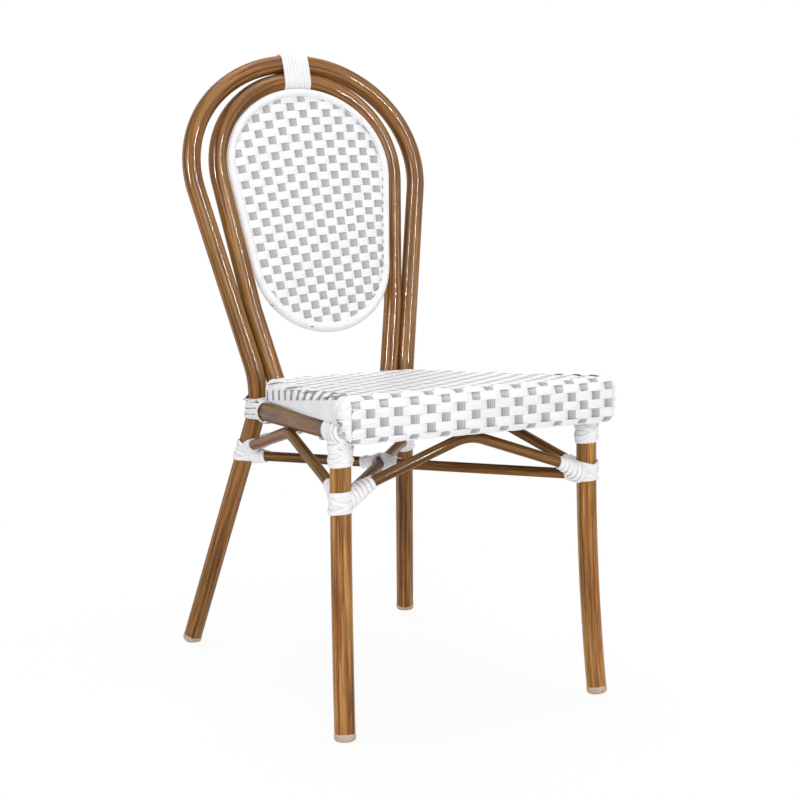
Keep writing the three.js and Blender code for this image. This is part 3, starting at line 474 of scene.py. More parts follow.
class Build:
    """Points, faces and grain of one mesh, gathered from several skins."""

    def __init__(self):
        self.points = []
        self.faces = []
        self.grain = []

    def skin(self, rings, grains, endless=False):
        """A skin over rings of points, closed with caps unless it joins up with its start."""
        first = len(self.points)
        count = len(rings[0])
        for ring, grain in zip(rings, grains):
            self.points.extend(ring)
            self.grain.extend(grain)
        for i in range(len(rings) if endless else len(rings) - 1):
            a = first + i * count
            b = first + (i + 1) % len(rings) * count
            for j in range(count):
                k = (j + 1) % count
                self.faces.append((a + j, a + k, b + k, b + j))
        if not endless:
            last = first + (len(rings) - 1) * count
            self.faces.append(tuple(range(first + count - 1, first - 1, -1)))
            self.faces.append(tuple(range(last, last + count)))

    def piece(self, name, material, slot, nodes, sharp):
        """Make the object, with edges over the sharp angle left unsmoothed."""
        mesh = bpy.data.meshes.new(name)
        mesh.from_pydata([metres(point) for point in self.points], [], self.faces)
        layer = mesh.attributes.new("grain", "FLOAT_VECTOR", "POINT")
        layer.data.foreach_set("vector", [value / 1000 for triple in self.grain for value in triple])
        shell = bmesh.new()
        shell.from_mesh(mesh)
        bmesh.ops.recalc_face_normals(shell, faces=shell.faces)
        shell.to_mesh(mesh)
        shell.free()
        mesh.polygons.foreach_set("use_smooth", [True] * len(mesh.polygons))
        mesh.set_sharp_from_angle(angle=math.radians(sharp))
        mesh.materials.append(material)
        piece = bpy.data.objects.new(name, mesh)
        bpy.context.collection.objects.link(piece)
        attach(piece, "root")
        if nodes:
            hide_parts(*nodes)


def tangents(points):
    around = zip([points[0], *points], [*points[1:], points[-1]])
    return [(on - back).normalized() for back, on in around]


def frames(points, normal):
    """Two ways square to the path at each point, carried along without twist."""
    made = []
    for tangent in tangents(points):
        normal = (normal - tangent * normal.dot(tangent)).normalized()
        made.append((normal, tangent.cross(normal)))
    return made


def lengths(points):
    total = [0]
    for a, b in zip(points, points[1:]):
        total.append(total[-1] + (b - a).length)
    return total


def spaced(points, step):
    """The same path with stations at even spacing."""
    total = lengths(points)
    count = max(2, round(total[-1] / step))
    found = []
    i = 0
    for n in range(count + 1):
        wanted = total[-1] * n / count
        while i < len(points) - 2 and total[i + 1] < wanted:
            i += 1
        span = total[i + 1] - total[i]
        found.append(points[i].lerp(points[i + 1], (wanted - total[i]) / span))
    return found


def turns_of(count):
    return [2 * math.pi * j / count for j in range(count)]


def add_tube(name, points, diameter, replaced, phase, look):
    """A bar along a path; its phase picks the stretch of grain that it shows."""
    radius = diameter / 2
    angles = turns_of(TUBE_SIDES if diameter == TUBE else BRACE_SIDES)
    rings = []
    grains = []
    for point, along, (normal, side) in zip(points, lengths(points), frames(points, Vector((0, 1, 0.3)))):
        rings.append([point + (normal * math.cos(a) + side * math.sin(a)) * radius for a in angles])
        grains.append([(along + phase, radius * math.cos(a), radius * math.sin(a)) for a in angles])
    build = Build()
    build.skin(rings, grains)
    build.piece(name, look, "cane_tube", [replaced], 50)


# Lines of the chair

SEAT_SLOPE = (SEAT_FRONT_HEIGHT - SEAT_REAR_HEIGHT) / (SEAT_REAR_Y - SEAT_FRONT_Y)


def seat_top(y):
    return SEAT_FRONT_HEIGHT - SEAT_SLOPE * (y - SEAT_FRONT_Y)


def bend(before, corner, after, radius, steps):
    """The arc that rounds off a corner between two straight runs."""
    back = (before - corner).normalized()
    on = (after - corner).normalized()
    half = back.angle(on) / 2
    centre = corner + (back + on).normalized() * radius / math.sin(half)
    arm = corner + back * radius / math.tan(half) - centre
    axis = on.cross(back).normalized()
    turn = math.pi - 2 * half
    return [centre + Matrix.Rotation(turn * i / steps, 3, axis) @ arm for i in range(steps + 1)]


LEG_TOP = seat_top(FRONT_LEG_Y + TUBE / 2) - SEAT_DEPTH - TOUCH
BEND_HEIGHT = LEG_TOP - FRONT_BEND_BELOW_TOP


def front_leg_point(side, height):
    share = max(0, (BEND_HEIGHT - height) / BEND_HEIGHT) ** 2
    x = FRONT_LEG_X + FRONT_FOOT_OUT * share
    return Vector((side * x, FRONT_LEG_Y - FRONT_FOOT_FORWARD * share, height))


def front_leg_points(side):
    count = 28
    bent = [front_leg_point(side, BEND_HEIGHT * i / count) for i in range(count + 1)]
    return bent + [front_leg_point(side, LEG_TOP)]


CORNER_HEIGHT = SEAT_REAR_HEIGHT - CORNER_BELOW_SEAT
UP_BACK = Vector((0, math.sin(BACK_LEAN), math.cos(BACK_LEAN)))
OUT_OF_BACK = Vector((0, -math.cos(BACK_LEAN), math.sin(BACK_LEAN)))


def on_back(across, up, forward=0):
    return Vector((across, CORNER_Y, CORNER_HEIGHT)) + UP_BACK * up + OUT_OF_BACK * forward


def touching_centre(half_width, end, line_start, slope):
    """Where the centre of an ellipse lies, so that a sloping straight line touches its side."""
    reach = half_width ** 2 - line_start ** 2 + (slope * end) ** 2
    return reach / (2 * slope * (line_start + slope * end))


def ellipse_arc(half_width, centre, end, slope, steps):
    """The ellipse from where the right line touches it, over its end and to the left line."""
    rise = end - centre
    start = -math.atan(slope * rise / half_width)
    found = []
    for i in range(steps + 1):
        angle = start + (math.pi - 2 * start) * i / steps
        found.append(Vector((half_width * math.cos(angle), centre + rise * math.sin(angle))))
    return found


PAIR_SPACING = TUBE + TOUCH
OUTER_CENTRE = touching_centre(LOOP_HALF_WIDTH, LOOP_TOP, CORNER_X, OUTER_SLOPE)
OUTER_ARC = ellipse_arc(LOOP_HALF_WIDTH, OUTER_CENTRE, LOOP_TOP, OUTER_SLOPE, ARC_STEPS)
INNER_TOP = LOOP_TOP - PAIR_SPACING
INNER_HALF_WIDTH = LOOP_HALF_WIDTH - LOOPS_APART
INNER_BEND_X = CORNER_X + OUTER_SLOPE * INNER_BEND_UP - PAIR_SPACING * math.hypot(1, OUTER_SLOPE)
INNER_LINE_START = INNER_BEND_X - INNER_SLOPE * INNER_BEND_UP
INNER_CENTRE = touching_centre(INNER_HALF_WIDTH, INNER_TOP, INNER_LINE_START, INNER_SLOPE)
INNER_ARC = ellipse_arc(INNER_HALF_WIDTH, INNER_CENTRE, INNER_TOP, INNER_SLOPE, ARC_STEPS)


def loop_points(flat_arc, end, corner, radius, steps):
    """A path up round an arc on the back and down again, bent on each side and run on to an end."""
    arc = [on_back(p.x, p.y) for p in flat_arc]
    ends = [Vector((side * end.x, end.y, end.z)) for side in (1, -1)]
    up = bend(ends[0], on_back(*corner), arc[0], radius, steps)
    down = bend(arc[-1], on_back(-corner[0], corner[1]), ends[1], radius, steps)
    return [ends[0], *up, *arc, *down, ends[1]]


def at_height(points, height):
    """The point of a path at a height, and the path's way up there."""
    for low, high in zip(points, points[1:]):
        if (low.z - height) * (high.z - height) <= 0 and low.z != high.z:
            share = (height - low.z) / (high.z - low.z)
            return low.lerp(high, share), (high - low).normalized() * math.copysign(1, high.z - low.z)
    raise ValueError(height)


INNER_END_X = INNER_BEND_X - OUTER_SLOPE * (INNER_BEND_UP + INNER_END_BELOW)
BACK_LOOP = loop_points(
    OUTER_ARC, Vector((REAR_FOOT_X, REAR_FOOT_Y, 0)), (CORNER_X, 0), CORNER_BEND_RADIUS, CORNER_STEPS)
INNER_LOOP = loop_points(
    INNER_ARC, on_back(INNER_END_X, -INNER_END_BELOW), (INNER_BEND_X, INNER_BEND_UP), INNER_BEND_RADIUS, 6)
LEG_COUNT = CORNER_STEPS + 3
LEGS = {
    "front_left": front_leg_points(-1),
    "front_right": front_leg_points(1),
    "rear_left": BACK_LOOP[-LEG_COUNT:][::-1],
    "rear_right": BACK_LOOP[:LEG_COUNT],
}
RAIL_DROP = SEAT_DEPTH + TOUCH + TUBE / 2


def rail_height(y):
    return seat_top(y) - RAIL_DROP


def side_rail_ends(side):
    front = Vector((side * FRONT_LEG_X, FRONT_LEG_Y, rail_height(FRONT_LEG_Y)))
    leg = LEGS["rear_left" if side < 0 else "rear_right"]
    guess = at_height(leg, rail_height(CORNER_Y))[0]
    return front, Vector((guess.x, guess.y, rail_height(guess.y)))


FRONT_RAIL_HEIGHT = rail_height(FRONT_LEG_Y) - CROSS_RAIL_DROP
REAR_RAIL_HEIGHT = rail_height(CORNER_Y) - CROSS_RAIL_DROP
ARCH_LANDING = rail_height(FRONT_LEG_Y) - ARCH_BELOW_RAIL
CROSS_FRONT_LANDING = ARCH_LANDING - CROSS_FRONT_DROP
CROSS_REAR_LANDING = ARCH_LANDING - CROSS_REAR_DROP
ARCH_DROP = BRACE / 2 + TOUCH
SIDE_MIDDLE_Y = (FRONT_LEG_Y + CORNER_Y) / 2
APEX = {
    "front": FRONT_RAIL_HEIGHT - RAIL_BAR / 2 - ARCH_DROP,
    "rear": REAR_RAIL_HEIGHT - RAIL_BAR / 2 - ARCH_DROP,
    "side": rail_height(SIDE_MIDDLE_Y) - TUBE / 2 - ARCH_DROP,
}


def arch_points(start_leg, end_leg, apex):
    start, end = [at_height(LEGS[name], ARCH_LANDING)[0] for name in (start_leg, end_leg)]
    half = math.atan2((end - start).length / 2, apex - ARCH_LANDING)
    corner = start.lerp(end, 0.5)
    corner.z = apex + ARCH_BEND_RADIUS / math.sin(half) - ARCH_BEND_RADIUS
    return [start, *bend(start, corner, end, ARCH_BEND_RADIUS, 16), end]


ARCHES = {
    "front": arch_points("front_left", "front_right", APEX["front"]),
    "rear": arch_points("rear_left", "rear_right", APEX["rear"]),
    "left": arch_points("front_left", "rear_left", APEX["side"]),
    "right": arch_points("front_right", "rear_right", APEX["side"]),
}
CROSS_ENDS = {
    name: at_height(LEGS[name], CROSS_FRONT_LANDING if "front" in name else CROSS_REAR_LANDING)[0]
    for name in LEGS
}


def find_crossing():
    a, b = CROSS_ENDS["rear_left"], CROSS_ENDS["front_right"]
    return a.lerp(b, a.x / (a.x - b.x))


CROSSING = find_crossing()


def towards(start, end, distance):
    return start + (end - start).normalized() * distance


# Painted tubes

def from_collar(points):
    """A leg's path from the top of its foot."""
    return [towards(points[0], points[1], FOOT_HEIGHT), *points[1:]]


def add_tubes():
    for name, side in SIDES:
        leg = spaced(from_collar(front_leg_points(side)), 12)
        add_tube(f"painted_front_leg_{name}", leg, TUBE, f"front_leg_{name}", 700 * side, LIT_LEG_CANE)
        front, rear = side_rail_ends(side)
        ends = [towards(front, rear, RAIL_END_IN_LEG), towards(rear, front, RAIL_END_IN_LEG)]
        add_tube(f"painted_side_rail_{name}", spaced(ends, 20), TUBE, f"side_rail_{name}", 90, SHADED_CANE)
    loop = from_collar(from_collar(BACK_LOOP)[::-1])
    add_tube("painted_back_loop", loop, TUBE, "back_loop_and_rear_legs", 2000, CANE)
    add_tube("painted_inner_loop", INNER_LOOP, TUBE, "inner_back_loop", 5000, CANE)
    front = [Vector((side * FRONT_LEG_X, FRONT_LEG_Y, FRONT_RAIL_HEIGHT)) for side in (-1, 1)]
    rear = [at_height(LEGS[name], REAR_RAIL_HEIGHT)[0] for name in ("rear_left", "rear_right")]
    for name, ends in (("front", front), ("rear", rear)):
        add_tube(f"painted_{name}_rail", spaced(ends, 20), RAIL_BAR, f"{name}_cross_rail", 333, SHADED_CANE)
    for name, points in ARCHES.items():
        add_tube(f"painted_arch_{name}", points, BRACE, f"arch_brace_{name}", 1500, SHADED_CANE)
    for name, leg, end, phase in (
        ("through", "rear_left", CROSS_ENDS["front_right"], 60),
        ("front_half", "front_left", CROSSING, 810),
        ("rear_half", "rear_right", CROSSING, 810),
    ):
        bar = spaced([CROSS_ENDS[leg], end], 20)
        add_tube(f"painted_cross_{name}", bar, BRACE, f"cross_brace_{name}", phase, SHADED_CANE)


# Plan outline of the seat and the wall that goes down from it

def plan_outline(steps):
    corners = [
        (Vector((SEAT_FRONT_HALF, SEAT_FRONT_Y, 0)), SEAT_FRONT_CORNER),
        (Vector((SEAT_REAR_HALF, SEAT_REAR_Y, 0)), SEAT_REAR_CORNER),
        (Vector((-SEAT_REAR_HALF, SEAT_REAR_Y, 0)), SEAT_REAR_CORNER),
        (Vector((-SEAT_FRONT_HALF, SEAT_FRONT_Y, 0)), SEAT_FRONT_CORNER),
    ]
    found = []
    for i, (corner, radius) in enumerate(corners):
        before = corners[i - 1][0]
        after = corners[(i + 1) % 4][0]
        found.extend(bend(before, corner, after, radius, steps))
    return found


class Outline:
    """The seat's plan as a closed path, measured from the middle of its front to the right."""

    def __init__(self):
        middle = Vector((0, SEAT_FRONT_Y, 0))
        self.path = [middle, *plan_outline(PLAN_CORNER_STEPS), middle]
        self.total = lengths(self.path)
        self.round = self.total[-1]

    def at(self, distance):
        distance %= self.round
        i = max(n for n in range(len(self.path) - 1) if self.total[n] <= distance)
        a, b = self.path[i], self.path[i + 1]
        share = (distance - self.total[i]) / (self.total[i + 1] - self.total[i])
        point = a.lerp(b, share)
        normals = [self.normal(n) for n in (i, i + 1)]
        return point, normals[0].lerp(normals[1], share).normalized()

    def normal(self, i):
        count = len(self.path) - 1
        ahead = (self.path[(i + 1) % count] - self.path[i % count]).normalized()
        behind = (self.path[i % count] - self.path[(i - 1) % count]).normalized()
        way = (ahead + behind).normalized()
        return Vector((way.y, -way.x, 0))


# Ribbons of flat cane

def ribbon(build, stations, width, phase=0, thickness=CANE_THICKNESS, crown=CANE_CROWN, power=4):
    """A strip with rounded shoulders over stations, each a point and the way that the strip faces.

    The width is a number, or a list with one for each station.
    """
    rings = []
    grains = []
    points = [point for point, _ in stations]
    total = lengths(points)
    for i, way in enumerate(tangents(points)):
        wide = width[i] if isinstance(width, list) else width
        point, normal = stations[i]
        side = way.cross(normal).normalized()
        spots = [(n / (RIBBON_POINTS - 1) - 0.5) * wide for n in range(RIBBON_POINTS)]
        section = [(s, crown * (1 - abs(2 * s / wide) ** power)) for s in spots]
        section += [(wide / 2, -thickness), (-wide / 2, -thickness)]
        rings.append([point + side * s + normal * lift for s, lift in section])
        grains.append([(total[i] + phase, s, lift) for s, lift in section])
    build.skin(rings, grains)


def wave(phase):
    """Height of a strip in a plain weave: one over, minus one under, with flat tops."""
    level = min(max(1.5 * math.cos(math.pi * phase), -1), 1)
    return level * (1.5 - 0.5 * level * level)


def place_among(value, marks):
    """Where a value lies among increasing marks, as a running number."""
    if value <= marks[0]:
        return (value - marks[0]) / (marks[1] - marks[0])
    for i in range(len(marks) - 1):
        if value <= marks[i + 1]:
            return i + (value - marks[i]) / (marks[i + 1] - marks[i])
    return len(marks) - 1 + (value - marks[-1]) / (marks[-1] - marks[-2])


# The seat's woven skin

OUTLINE = Outline()
TOP_NORMAL = Vector((0, SEAT_SLOPE, 1)).normalized()
ROLL_PATH = SEAT_ROLL * math.pi / 2
TOP_FRONT_Y = SEAT_FRONT_Y + SEAT_ROLL
TOP_REAR_Y = SEAT_REAR_Y - SEAT_ROLL
BAND_FRONT_Y = SEAT_FRONT_Y + BAND_FROM_FRONT
BAND_REAR_Y = SEAT_REAR_Y - BAND_FROM_REAR
SIDE_COSINE = math.cos(math.atan2(SEAT_FRONT_HALF - SEAT_REAR_HALF, SEAT_REAR_Y - SEAT_FRONT_Y))


def apron_share(normal):
    return smoothstep(-normal.y, APRON_STARTS_SHARE, APRON_FULL_SHARE)


def wall_section(share, path, lift):
    """Inset and drop of a point on the wall, by the length of path down from the top's edge."""
    depth = mix(SEAT_DEPTH, APRON_DEPTH, share)
    hem = mix(HEM_RADIUS, APRON_HEM_RADIUS, share)
    turn = mix(HEM_TURN, APRON_HEM_TURN, share)
    if path < ROLL_PATH:
        angle = max(path, 0) / SEAT_ROLL
        out = SEAT_ROLL + lift
        return SEAT_ROLL - out * math.sin(angle), SEAT_ROLL - out * math.cos(angle)
    straight = depth - SEAT_ROLL - hem
    if path < ROLL_PATH + straight:
        return -lift, SEAT_ROLL + path - ROLL_PATH
    angle = min((path - ROLL_PATH - straight) / hem, turn)
    past = max(path - ROLL_PATH - straight - hem * turn, 0)
    inset = hem - (hem + lift) * math.cos(angle) + past * math.sin(angle)
    drop = depth - hem + (hem + lift) * math.sin(angle) + past * math.cos(angle)
    return inset, drop


def wall_point(distance, path, lift=0.0):
    """A point of the wall at a distance round the outline."""
    point, normal = OUTLINE.at(distance)
    inset, drop = wall_section(apron_share(normal), path, lift)
    place = point - normal * inset
    place.z = seat_top(place.y) - drop
    return place


def on_wall(distance, path, lift):
    """A point of the wall and the way that it faces."""
    at = wall_point(distance, path, lift)
    return at, (wall_point(distance, path, lift + 1) - at).normalized()


def edge_distance(x, y):
    """How far a plan point lies inside the outline."""
    best = 1e9
    spot = Vector((x, y))
    for a, b in zip(OUTLINE.path, OUTLINE.path[1:]):
        way = b.xy - a.xy
        share = min(max((spot - a.xy).dot(way) / max(way.length_squared, 1e-9), 0), 1)
        best = min(best, (spot - a.xy - way * share).length)
    return best


def edge_x(y):
    """Half width of the outline at a given y."""
    best = 0
    for a, b in zip(OUTLINE.path, OUTLINE.path[1:]):
        if a.y != b.y and (a.y - y) * (b.y - y) <= 0:
            best = max(best, a.x + (b.x - a.x) * (y - a.y) / (b.y - a.y))
    return best


def drifted(number):
    """Side shift of the hand-laid seat warps, from the left."""
    spot = place_among(number, [mark for mark, _ in WARP_DRIFT])
    i = min(int(max(spot, 0)), len(WARP_DRIFT) - 2)
    return mix(WARP_DRIFT[i][1], WARP_DRIFT[i + 1][1], smoothstep(spot - i, 0, 1))


WARP_X = [WARP_FIRST_X + WARP_PITCH * n + drifted(n) for n in range(WARP_COUNT)]


def seat_rows():
    """Rows by number: path down the front wall for the apron, y for the top."""
    apron = {r: APRON_FIRST_ROW + APRON_ROW_PITCH * r for r in range(-1, APRON_ROWS)}
    first = TOP_FRONT_Y + APRON_ROW_PITCH * 2 - APRON_FIRST_ROW
    count = round((TOP_REAR_Y - first) / TOP_ROW_PITCH)
    pitch = (TOP_REAR_Y - first) / count
    top = {-2 - n: first + pitch * n for n in range(count + 1)}
    return apron, top


APRON_PATHS, TOP_YS = seat_rows()
LAST_TOP_ROW = min(TOP_YS)
REAR_PATHS = {LAST_TOP_ROW - 1 - n: APRON_ROW_PITCH * (n + 0.9) for n in range(REAR_ROWS)}


def front_row_number(path):
    """Running row number down the front, where path is less than zero on the top."""
    marks = [TOP_FRONT_Y - y for y in sorted(TOP_YS.values(), reverse=True)] + sorted(APRON_PATHS.values())
    return place_among(path, marks) + LAST_TOP_ROW


def column_number(x):
    return place_among(x, WARP_X)


def roll_drop(inside):
    """Drop of the rounded edge, by the distance inside the outline."""
    if inside >= SEAT_ROLL:
        return 0
    return SEAT_ROLL - math.sqrt(max(SEAT_ROLL ** 2 - (SEAT_ROLL - max(inside, 0)) ** 2, 0))


def relief(y):
    """The strips are beaten flatter on the seat's top than at its front edge."""
    return mix(1, TOP_RELIEF, smoothstep(y - TOP_FRONT_Y, 0, 30))


def warp_lift(number, row, share=1):
    return WEAVE_BASE + WARP_LIFT * share * wave(row + number)


def weft_lift(row, x, share=1):
    return WEAVE_BASE - WEFT_LIFT * share * wave(column_number(x) + row)


def seat_warp(build, number):
    """A grey strip from the apron's hem over the top, and down the rear wall or to the side's edge."""
    start = wall_point(WARP_X[number], 0)
    stations = []
    path = HEM_END
    while path > 0:
        stations.append(on_wall(WARP_X[number], path, warp_lift(number, front_row_number(path))))
        path -= WALL_STEP
    reaches_rear = abs(start.x) < SEAT_REAR_HALF - SEAT_REAR_CORNER
    y = start.y
    while y < (TOP_REAR_Y if reaches_rear else SEAT_REAR_Y):
        inside = edge_distance(start.x, y)
        if inside < WARP_STOPS_INSIDE:
            break
        lift = warp_lift(number, front_row_number(TOP_FRONT_Y - y), relief(y))
        lift = mix(WEAVE_BASE - WEFT_LIFT, lift, smoothstep(inside, *WARP_SINKS_INSIDE))
        at = Vector((start.x, y, seat_top(y) - roll_drop(inside)))
        stations.append((at + TOP_NORMAL * lift, TOP_NORMAL))
        y += TOP_STEP
    path = 1.2
    while reaches_rear and path < ROLL_PATH + SEAT_DEPTH - SEAT_ROLL + HEM_RADIUS:
        lift = warp_lift(number, LAST_TOP_ROW - path / APRON_ROW_PITCH)
        stations.append(on_wall(OUTLINE.round / 2 - start.x, path, lift))
        path += WALL_STEP
    ribbon(build, stations, WARP_WIDTH, 37 * number)


def apron_weft(build, row, path):
    """A white strip across the front wall and round both of its corners."""
    reach = SEAT_FRONT_HALF + APRON_WEFT_PAST_CORNER
    stations = []
    for i in range(APRON_WEFT_STEPS + 1):
        t = mix(-reach, reach, i / APRON_WEFT_STEPS)
        beyond = max(abs(t - WARPS_MIDDLE_X) - (WARP_X[-1] - WARPS_MIDDLE_X), 0)
        lift = mix(weft_lift(row, t), WEAVE_BASE, smoothstep(beyond, *APRON_WEFT_SINKS))
        stations.append(on_wall(t, path, lift))
    ribbon(build, stations, APRON_ROW_PITCH * ROW_COVER, 11 * row)


def rear_weft(build, row, path):
    half = SEAT_REAR_HALF - REAR_WEFT_INSET
    stations = []
    for i in range(REAR_WEFT_STEPS + 1):
        t = OUTLINE.round / 2 + mix(-half, half, i / REAR_WEFT_STEPS)
        stations.append(on_wall(t, path, weft_lift(row, OUTLINE.at(t)[0].x)))
    ribbon(build, stations, APRON_ROW_PITCH * ROW_COVER, 19 * row)


def roll_path(drop):
    if drop < SEAT_ROLL:
        return SEAT_ROLL * math.acos(1 - drop / SEAT_ROLL)
    return ROLL_PATH + drop - SEAT_ROLL


def seam_path(y):
    """Where the slanting seam between the weave and the side band lies on the wall."""
    share = (min(max(y, BAND_FRONT_Y), BAND_REAR_Y) - BAND_FRONT_Y) / (BAND_REAR_Y - BAND_FRONT_Y)
    return roll_path(mix(SEAM_FRONT_DROP, SEAM_REAR_DROP, share))


def side_warp_path(y):
    """The outermost warp lies along the seam."""
    return seam_path(y) + SIDE_WARP_LAP - SIDE_WARP_WIDTH / 2


def on_side(y, side, path, lift):
    """A point of the side wall at a given y, and the way that it faces."""
    def at(off):
        inset, drop = wall_section(0, path, off)
        return Vector((side * (edge_x(y) - inset / SIDE_COSINE), y, seat_top(y) - drop))
    return at(lift), (at(lift + 1) - at(lift)).normalized()


def top_weft(build, row, y):
    """A white strip over the top, and down each side to just past the seam."""
    low = seam_path(y) + SEAM_LAP
    half = edge_x(y) - SEAT_ROLL / SIDE_COSINE
    at_warp = -WEFT_LIFT if row % 2 else SIDE_WEFT_LIFT

    def side_stations(side):
        steps = max(4, round(low / SIDE_STEP))
        found = []
        for path in [low * i / steps for i in range(1, steps + 1)]:
            near = 1 - smoothstep(abs(path - side_warp_path(y)), *SIDE_WEFT_SINKS)
            lift = WEAVE_BASE + near * at_warp
            lift = mix(weft_lift(row, side * half, relief(y)), lift, smoothstep(path, 0, 8))
            found.append(on_side(y, side, path, lift))
        return found

    count = max(6, round(2 * half / ACROSS_STEP))
    across = [mix(-half, half, i / count) for i in range(count + 1)]
    top = [
        (Vector((x, y, seat_top(y))) + TOP_NORMAL * weft_lift(row, x, relief(y)), TOP_NORMAL) for x in across
    ]
    stations = side_stations(-1)[::-1] + top + side_stations(1)
    ribbon(build, stations, TOP_ROW_PITCH * ROW_COVER, 13 * row)


def side_warp(build, side):
    rows = sorted(TOP_YS.values())
    stations = []
    y = BAND_FRONT_Y
    while y < BAND_REAR_Y + 8:
        lift = WEAVE_BASE + SIDE_WARP_LIFT * wave(-1 - place_among(y, rows))
        stations.append(on_side(y, side, side_warp_path(y), lift))
        y += 2
    ribbon(build, stations, SIDE_WARP_WIDTH, crown=SIDE_WARP_CROWN)


def add_seat():
    warps = Build()
    for number in range(WARP_COUNT):
        seat_warp(warps, number)
    warps.piece("seat_warps", GREY, "weave", ["seat_weave"], 40)
    # The warps along the side walls take a darker copy of the grey, as painted shade.
    edges = Build()
    for side in (-1, 1):
        side_warp(edges, side)
    edges.piece("seat_side_warps", SHADED_SIDE_GREY, "weave", ["seat_weave"], 40)
    wefts = Build()
    for row, path in APRON_PATHS.items():
        apron_weft(wefts, row, path)
    for row, y in TOP_YS.items():
        top_weft(wefts, row, y)
    for row, path in REAR_PATHS.items():
        rear_weft(wefts, row, path)
    wefts.piece("seat_wefts", WHITE, "weave", ["seat_weave"], 40)


def add_side_band(name, side):
    """Plain band on the side wall, from the slanting seam to a ragged edge over the rail."""
    end = ROLL_PATH + SEAT_DEPTH - SEAT_ROLL - HEM_RADIUS + 6
    rings = []
    grains = []
    for i in range(BAND_STEPS + 1):
        y = mix(BAND_FRONT_Y - 4, BAND_REAR_Y, i / BAND_STEPS)
        start = seam_path(y)
        tooth = 0.9 * math.sin(y * 0.9 + side) + 0.7 * math.sin(y * 2.3 + 1.7 * side)
        ripple = 0.12 * math.sin(y * 1.1) + 0.08 * math.sin(y * 2.7 + 1)
        outer = [on_side(y, side, mix(start, end, n / 9), 0.5 + ripple * min(n, 3) / 3)[0] for n in range(10)]
        outer[-1].z += tooth * 0.6 - 1.5
        outer[-1].x = outer[-2].x - side * 0.4
        inner = [on_side(y, side, mix(start, end, n / 3), -0.5)[0] for n in (3, 2, 1, 0)]
        inner[0].z = outer[-1].z
        rings.append(outer + inner)
        grains.append([(p.z, y * 0.55, 0) for p in outer + inner])
    build = Build()
    build.skin(rings, grains)
    build.piece(f"side_band_{name}", WHITE, "weave", [f"seat_side_band_{name}"], 45)


# The back panel

NOOK = TUBE / 2 + BINDING / 2 + TOUCH
RIM_INSET = math.sqrt(NOOK ** 2 - PANEL_FORWARD ** 2)


def touching_ellipse(end, touch, line_start, slope):
    """Half width and centre of the ellipse that touches the sloping line at a given height."""
    across = line_start + slope * touch
    rise = touch - end
    past = slope * rise ** 2 / (across - 2 * slope * rise)
    share = past / (past + rise)
    return across / math.sqrt(1 - share ** 2), touch + past


def rim_path():
    """The middle line of the panel's hoop, across and up the back, with even stations."""
    line_start = INNER_LINE_START - RIM_INSET * math.hypot(1, INNER_SLOPE)
    top = INNER_TOP - RIM_INSET - STRIP_ROOM
    half = INNER_HALF_WIDTH - RIM_INSET
    centre = touching_centre(half, top, line_start, INNER_SLOPE)
    upper = ellipse_arc(half, centre, top, INNER_SLOPE, 90)
    low_half, low_centre = touching_ellipse(PANEL_BOTTOM, PANEL_TURN_UP, line_start, INNER_SLOPE)
    lower = ellipse_arc(low_half, low_centre, PANEL_BOTTOM, INNER_SLOPE, 70)
    ring = upper + lower[::-1]
    return spaced(ring + ring[:1], RIM_STEP)[:-1]


RIM = rim_path()


def rim_way(i):
    return (RIM[(i + 1) % len(RIM)] - RIM[i - 1]).normalized()


def inside_rim(x, y):
    odd = False
    for a, b in zip(RIM, RIM[1:] + RIM[:1]):
        if (a.y > y) != (b.y > y) and x < a.x + (b.x - a.x) * (y - a.y) / (b.y - a.y):
            odd = not odd
    return odd


def back_column_x(number, up):
    """The warps lean in towards the bottom, as the panel narrows."""
    low = (BACK_HIGH - up) / (BACK_HIGH - BACK_LOW)
    off = number - BACK_MIDDLE
    return mix(*BACK_MIDDLE_X, low) + off * (mix(*BACK_COLUMN_PITCH, low) - BACK_COLUMN_FAN * off)


def back_tilt(x, up):
    """How far a row has risen at x: bowed high on the panel and slanting low on it."""
    low = smoothstep(BACK_HIGH - up, 0, BACK_HIGH - BACK_LOW)
    slant = BACK_SLANT * (min(x, BACK_SLANT_END_X) - BACK_TILT_X)
    return mix(-BACK_BOW * (BACK_TILT_X - x) ** 2, slant, low)


def back_row_up(number, x):
    """Height of a row at x; each row is level with its number at the middle warp."""
    level = BACK_ROW_FIRST - BACK_ROW_PITCH * number
    return level + back_tilt(x, level) - back_tilt(back_column_x(BACK_MIDDLE, level), level)


def back_row_number(x, up):
    level = up - back_tilt(x, up) + back_tilt(back_column_x(BACK_MIDDLE, up), up)
    return (BACK_ROW_FIRST - level) / BACK_ROW_PITCH


def back_column_number(x, up):
    return place_among(x, [back_column_x(n, up) for n in range(-1, 15)]) - 1


def back_strip(build, spots, lift_at, width, phase):
    """A strip of the panel over those spots that lie inside the rim."""
    inside = [(x, up) for x, up in spots if inside_rim(x, up)]
    stations = [(on_back(x, up, PANEL_FORWARD + lift_at(x, up)), OUT_OF_BACK) for x, up in inside]
    if len(stations) > 3:
        ribbon(build, stations, width, phase)


def add_back_weave():
    warps = Build()
    for number in range(-1, BACK_COLUMNS):
        spots = [(back_column_x(number, up), up) for up in range(86, 506, 2)]
        back_strip(warps, spots, lambda x, up: WARP_LIFT * wave(back_row_number(x, up) + number),
                   BACK_WARP_WIDTH, 53 * number)
    warps.piece("back_warps", PANEL_GREY, "weave", ["panel_weave"], 40)
    wefts = Build()
    for row in range(-1, BACK_ROWS):
        spots = [(x, back_row_up(row, x)) for x in range(-136, 136, 2)]
        back_strip(wefts, spots, lambda x, up: -WEFT_LIFT * wave(back_column_number(x, up) + row),
                   BACK_ROW_PITCH * ROW_COVER, 29 * row)
    wefts.piece("back_wefts", WHITE, "weave", ["panel_weave"], 40)


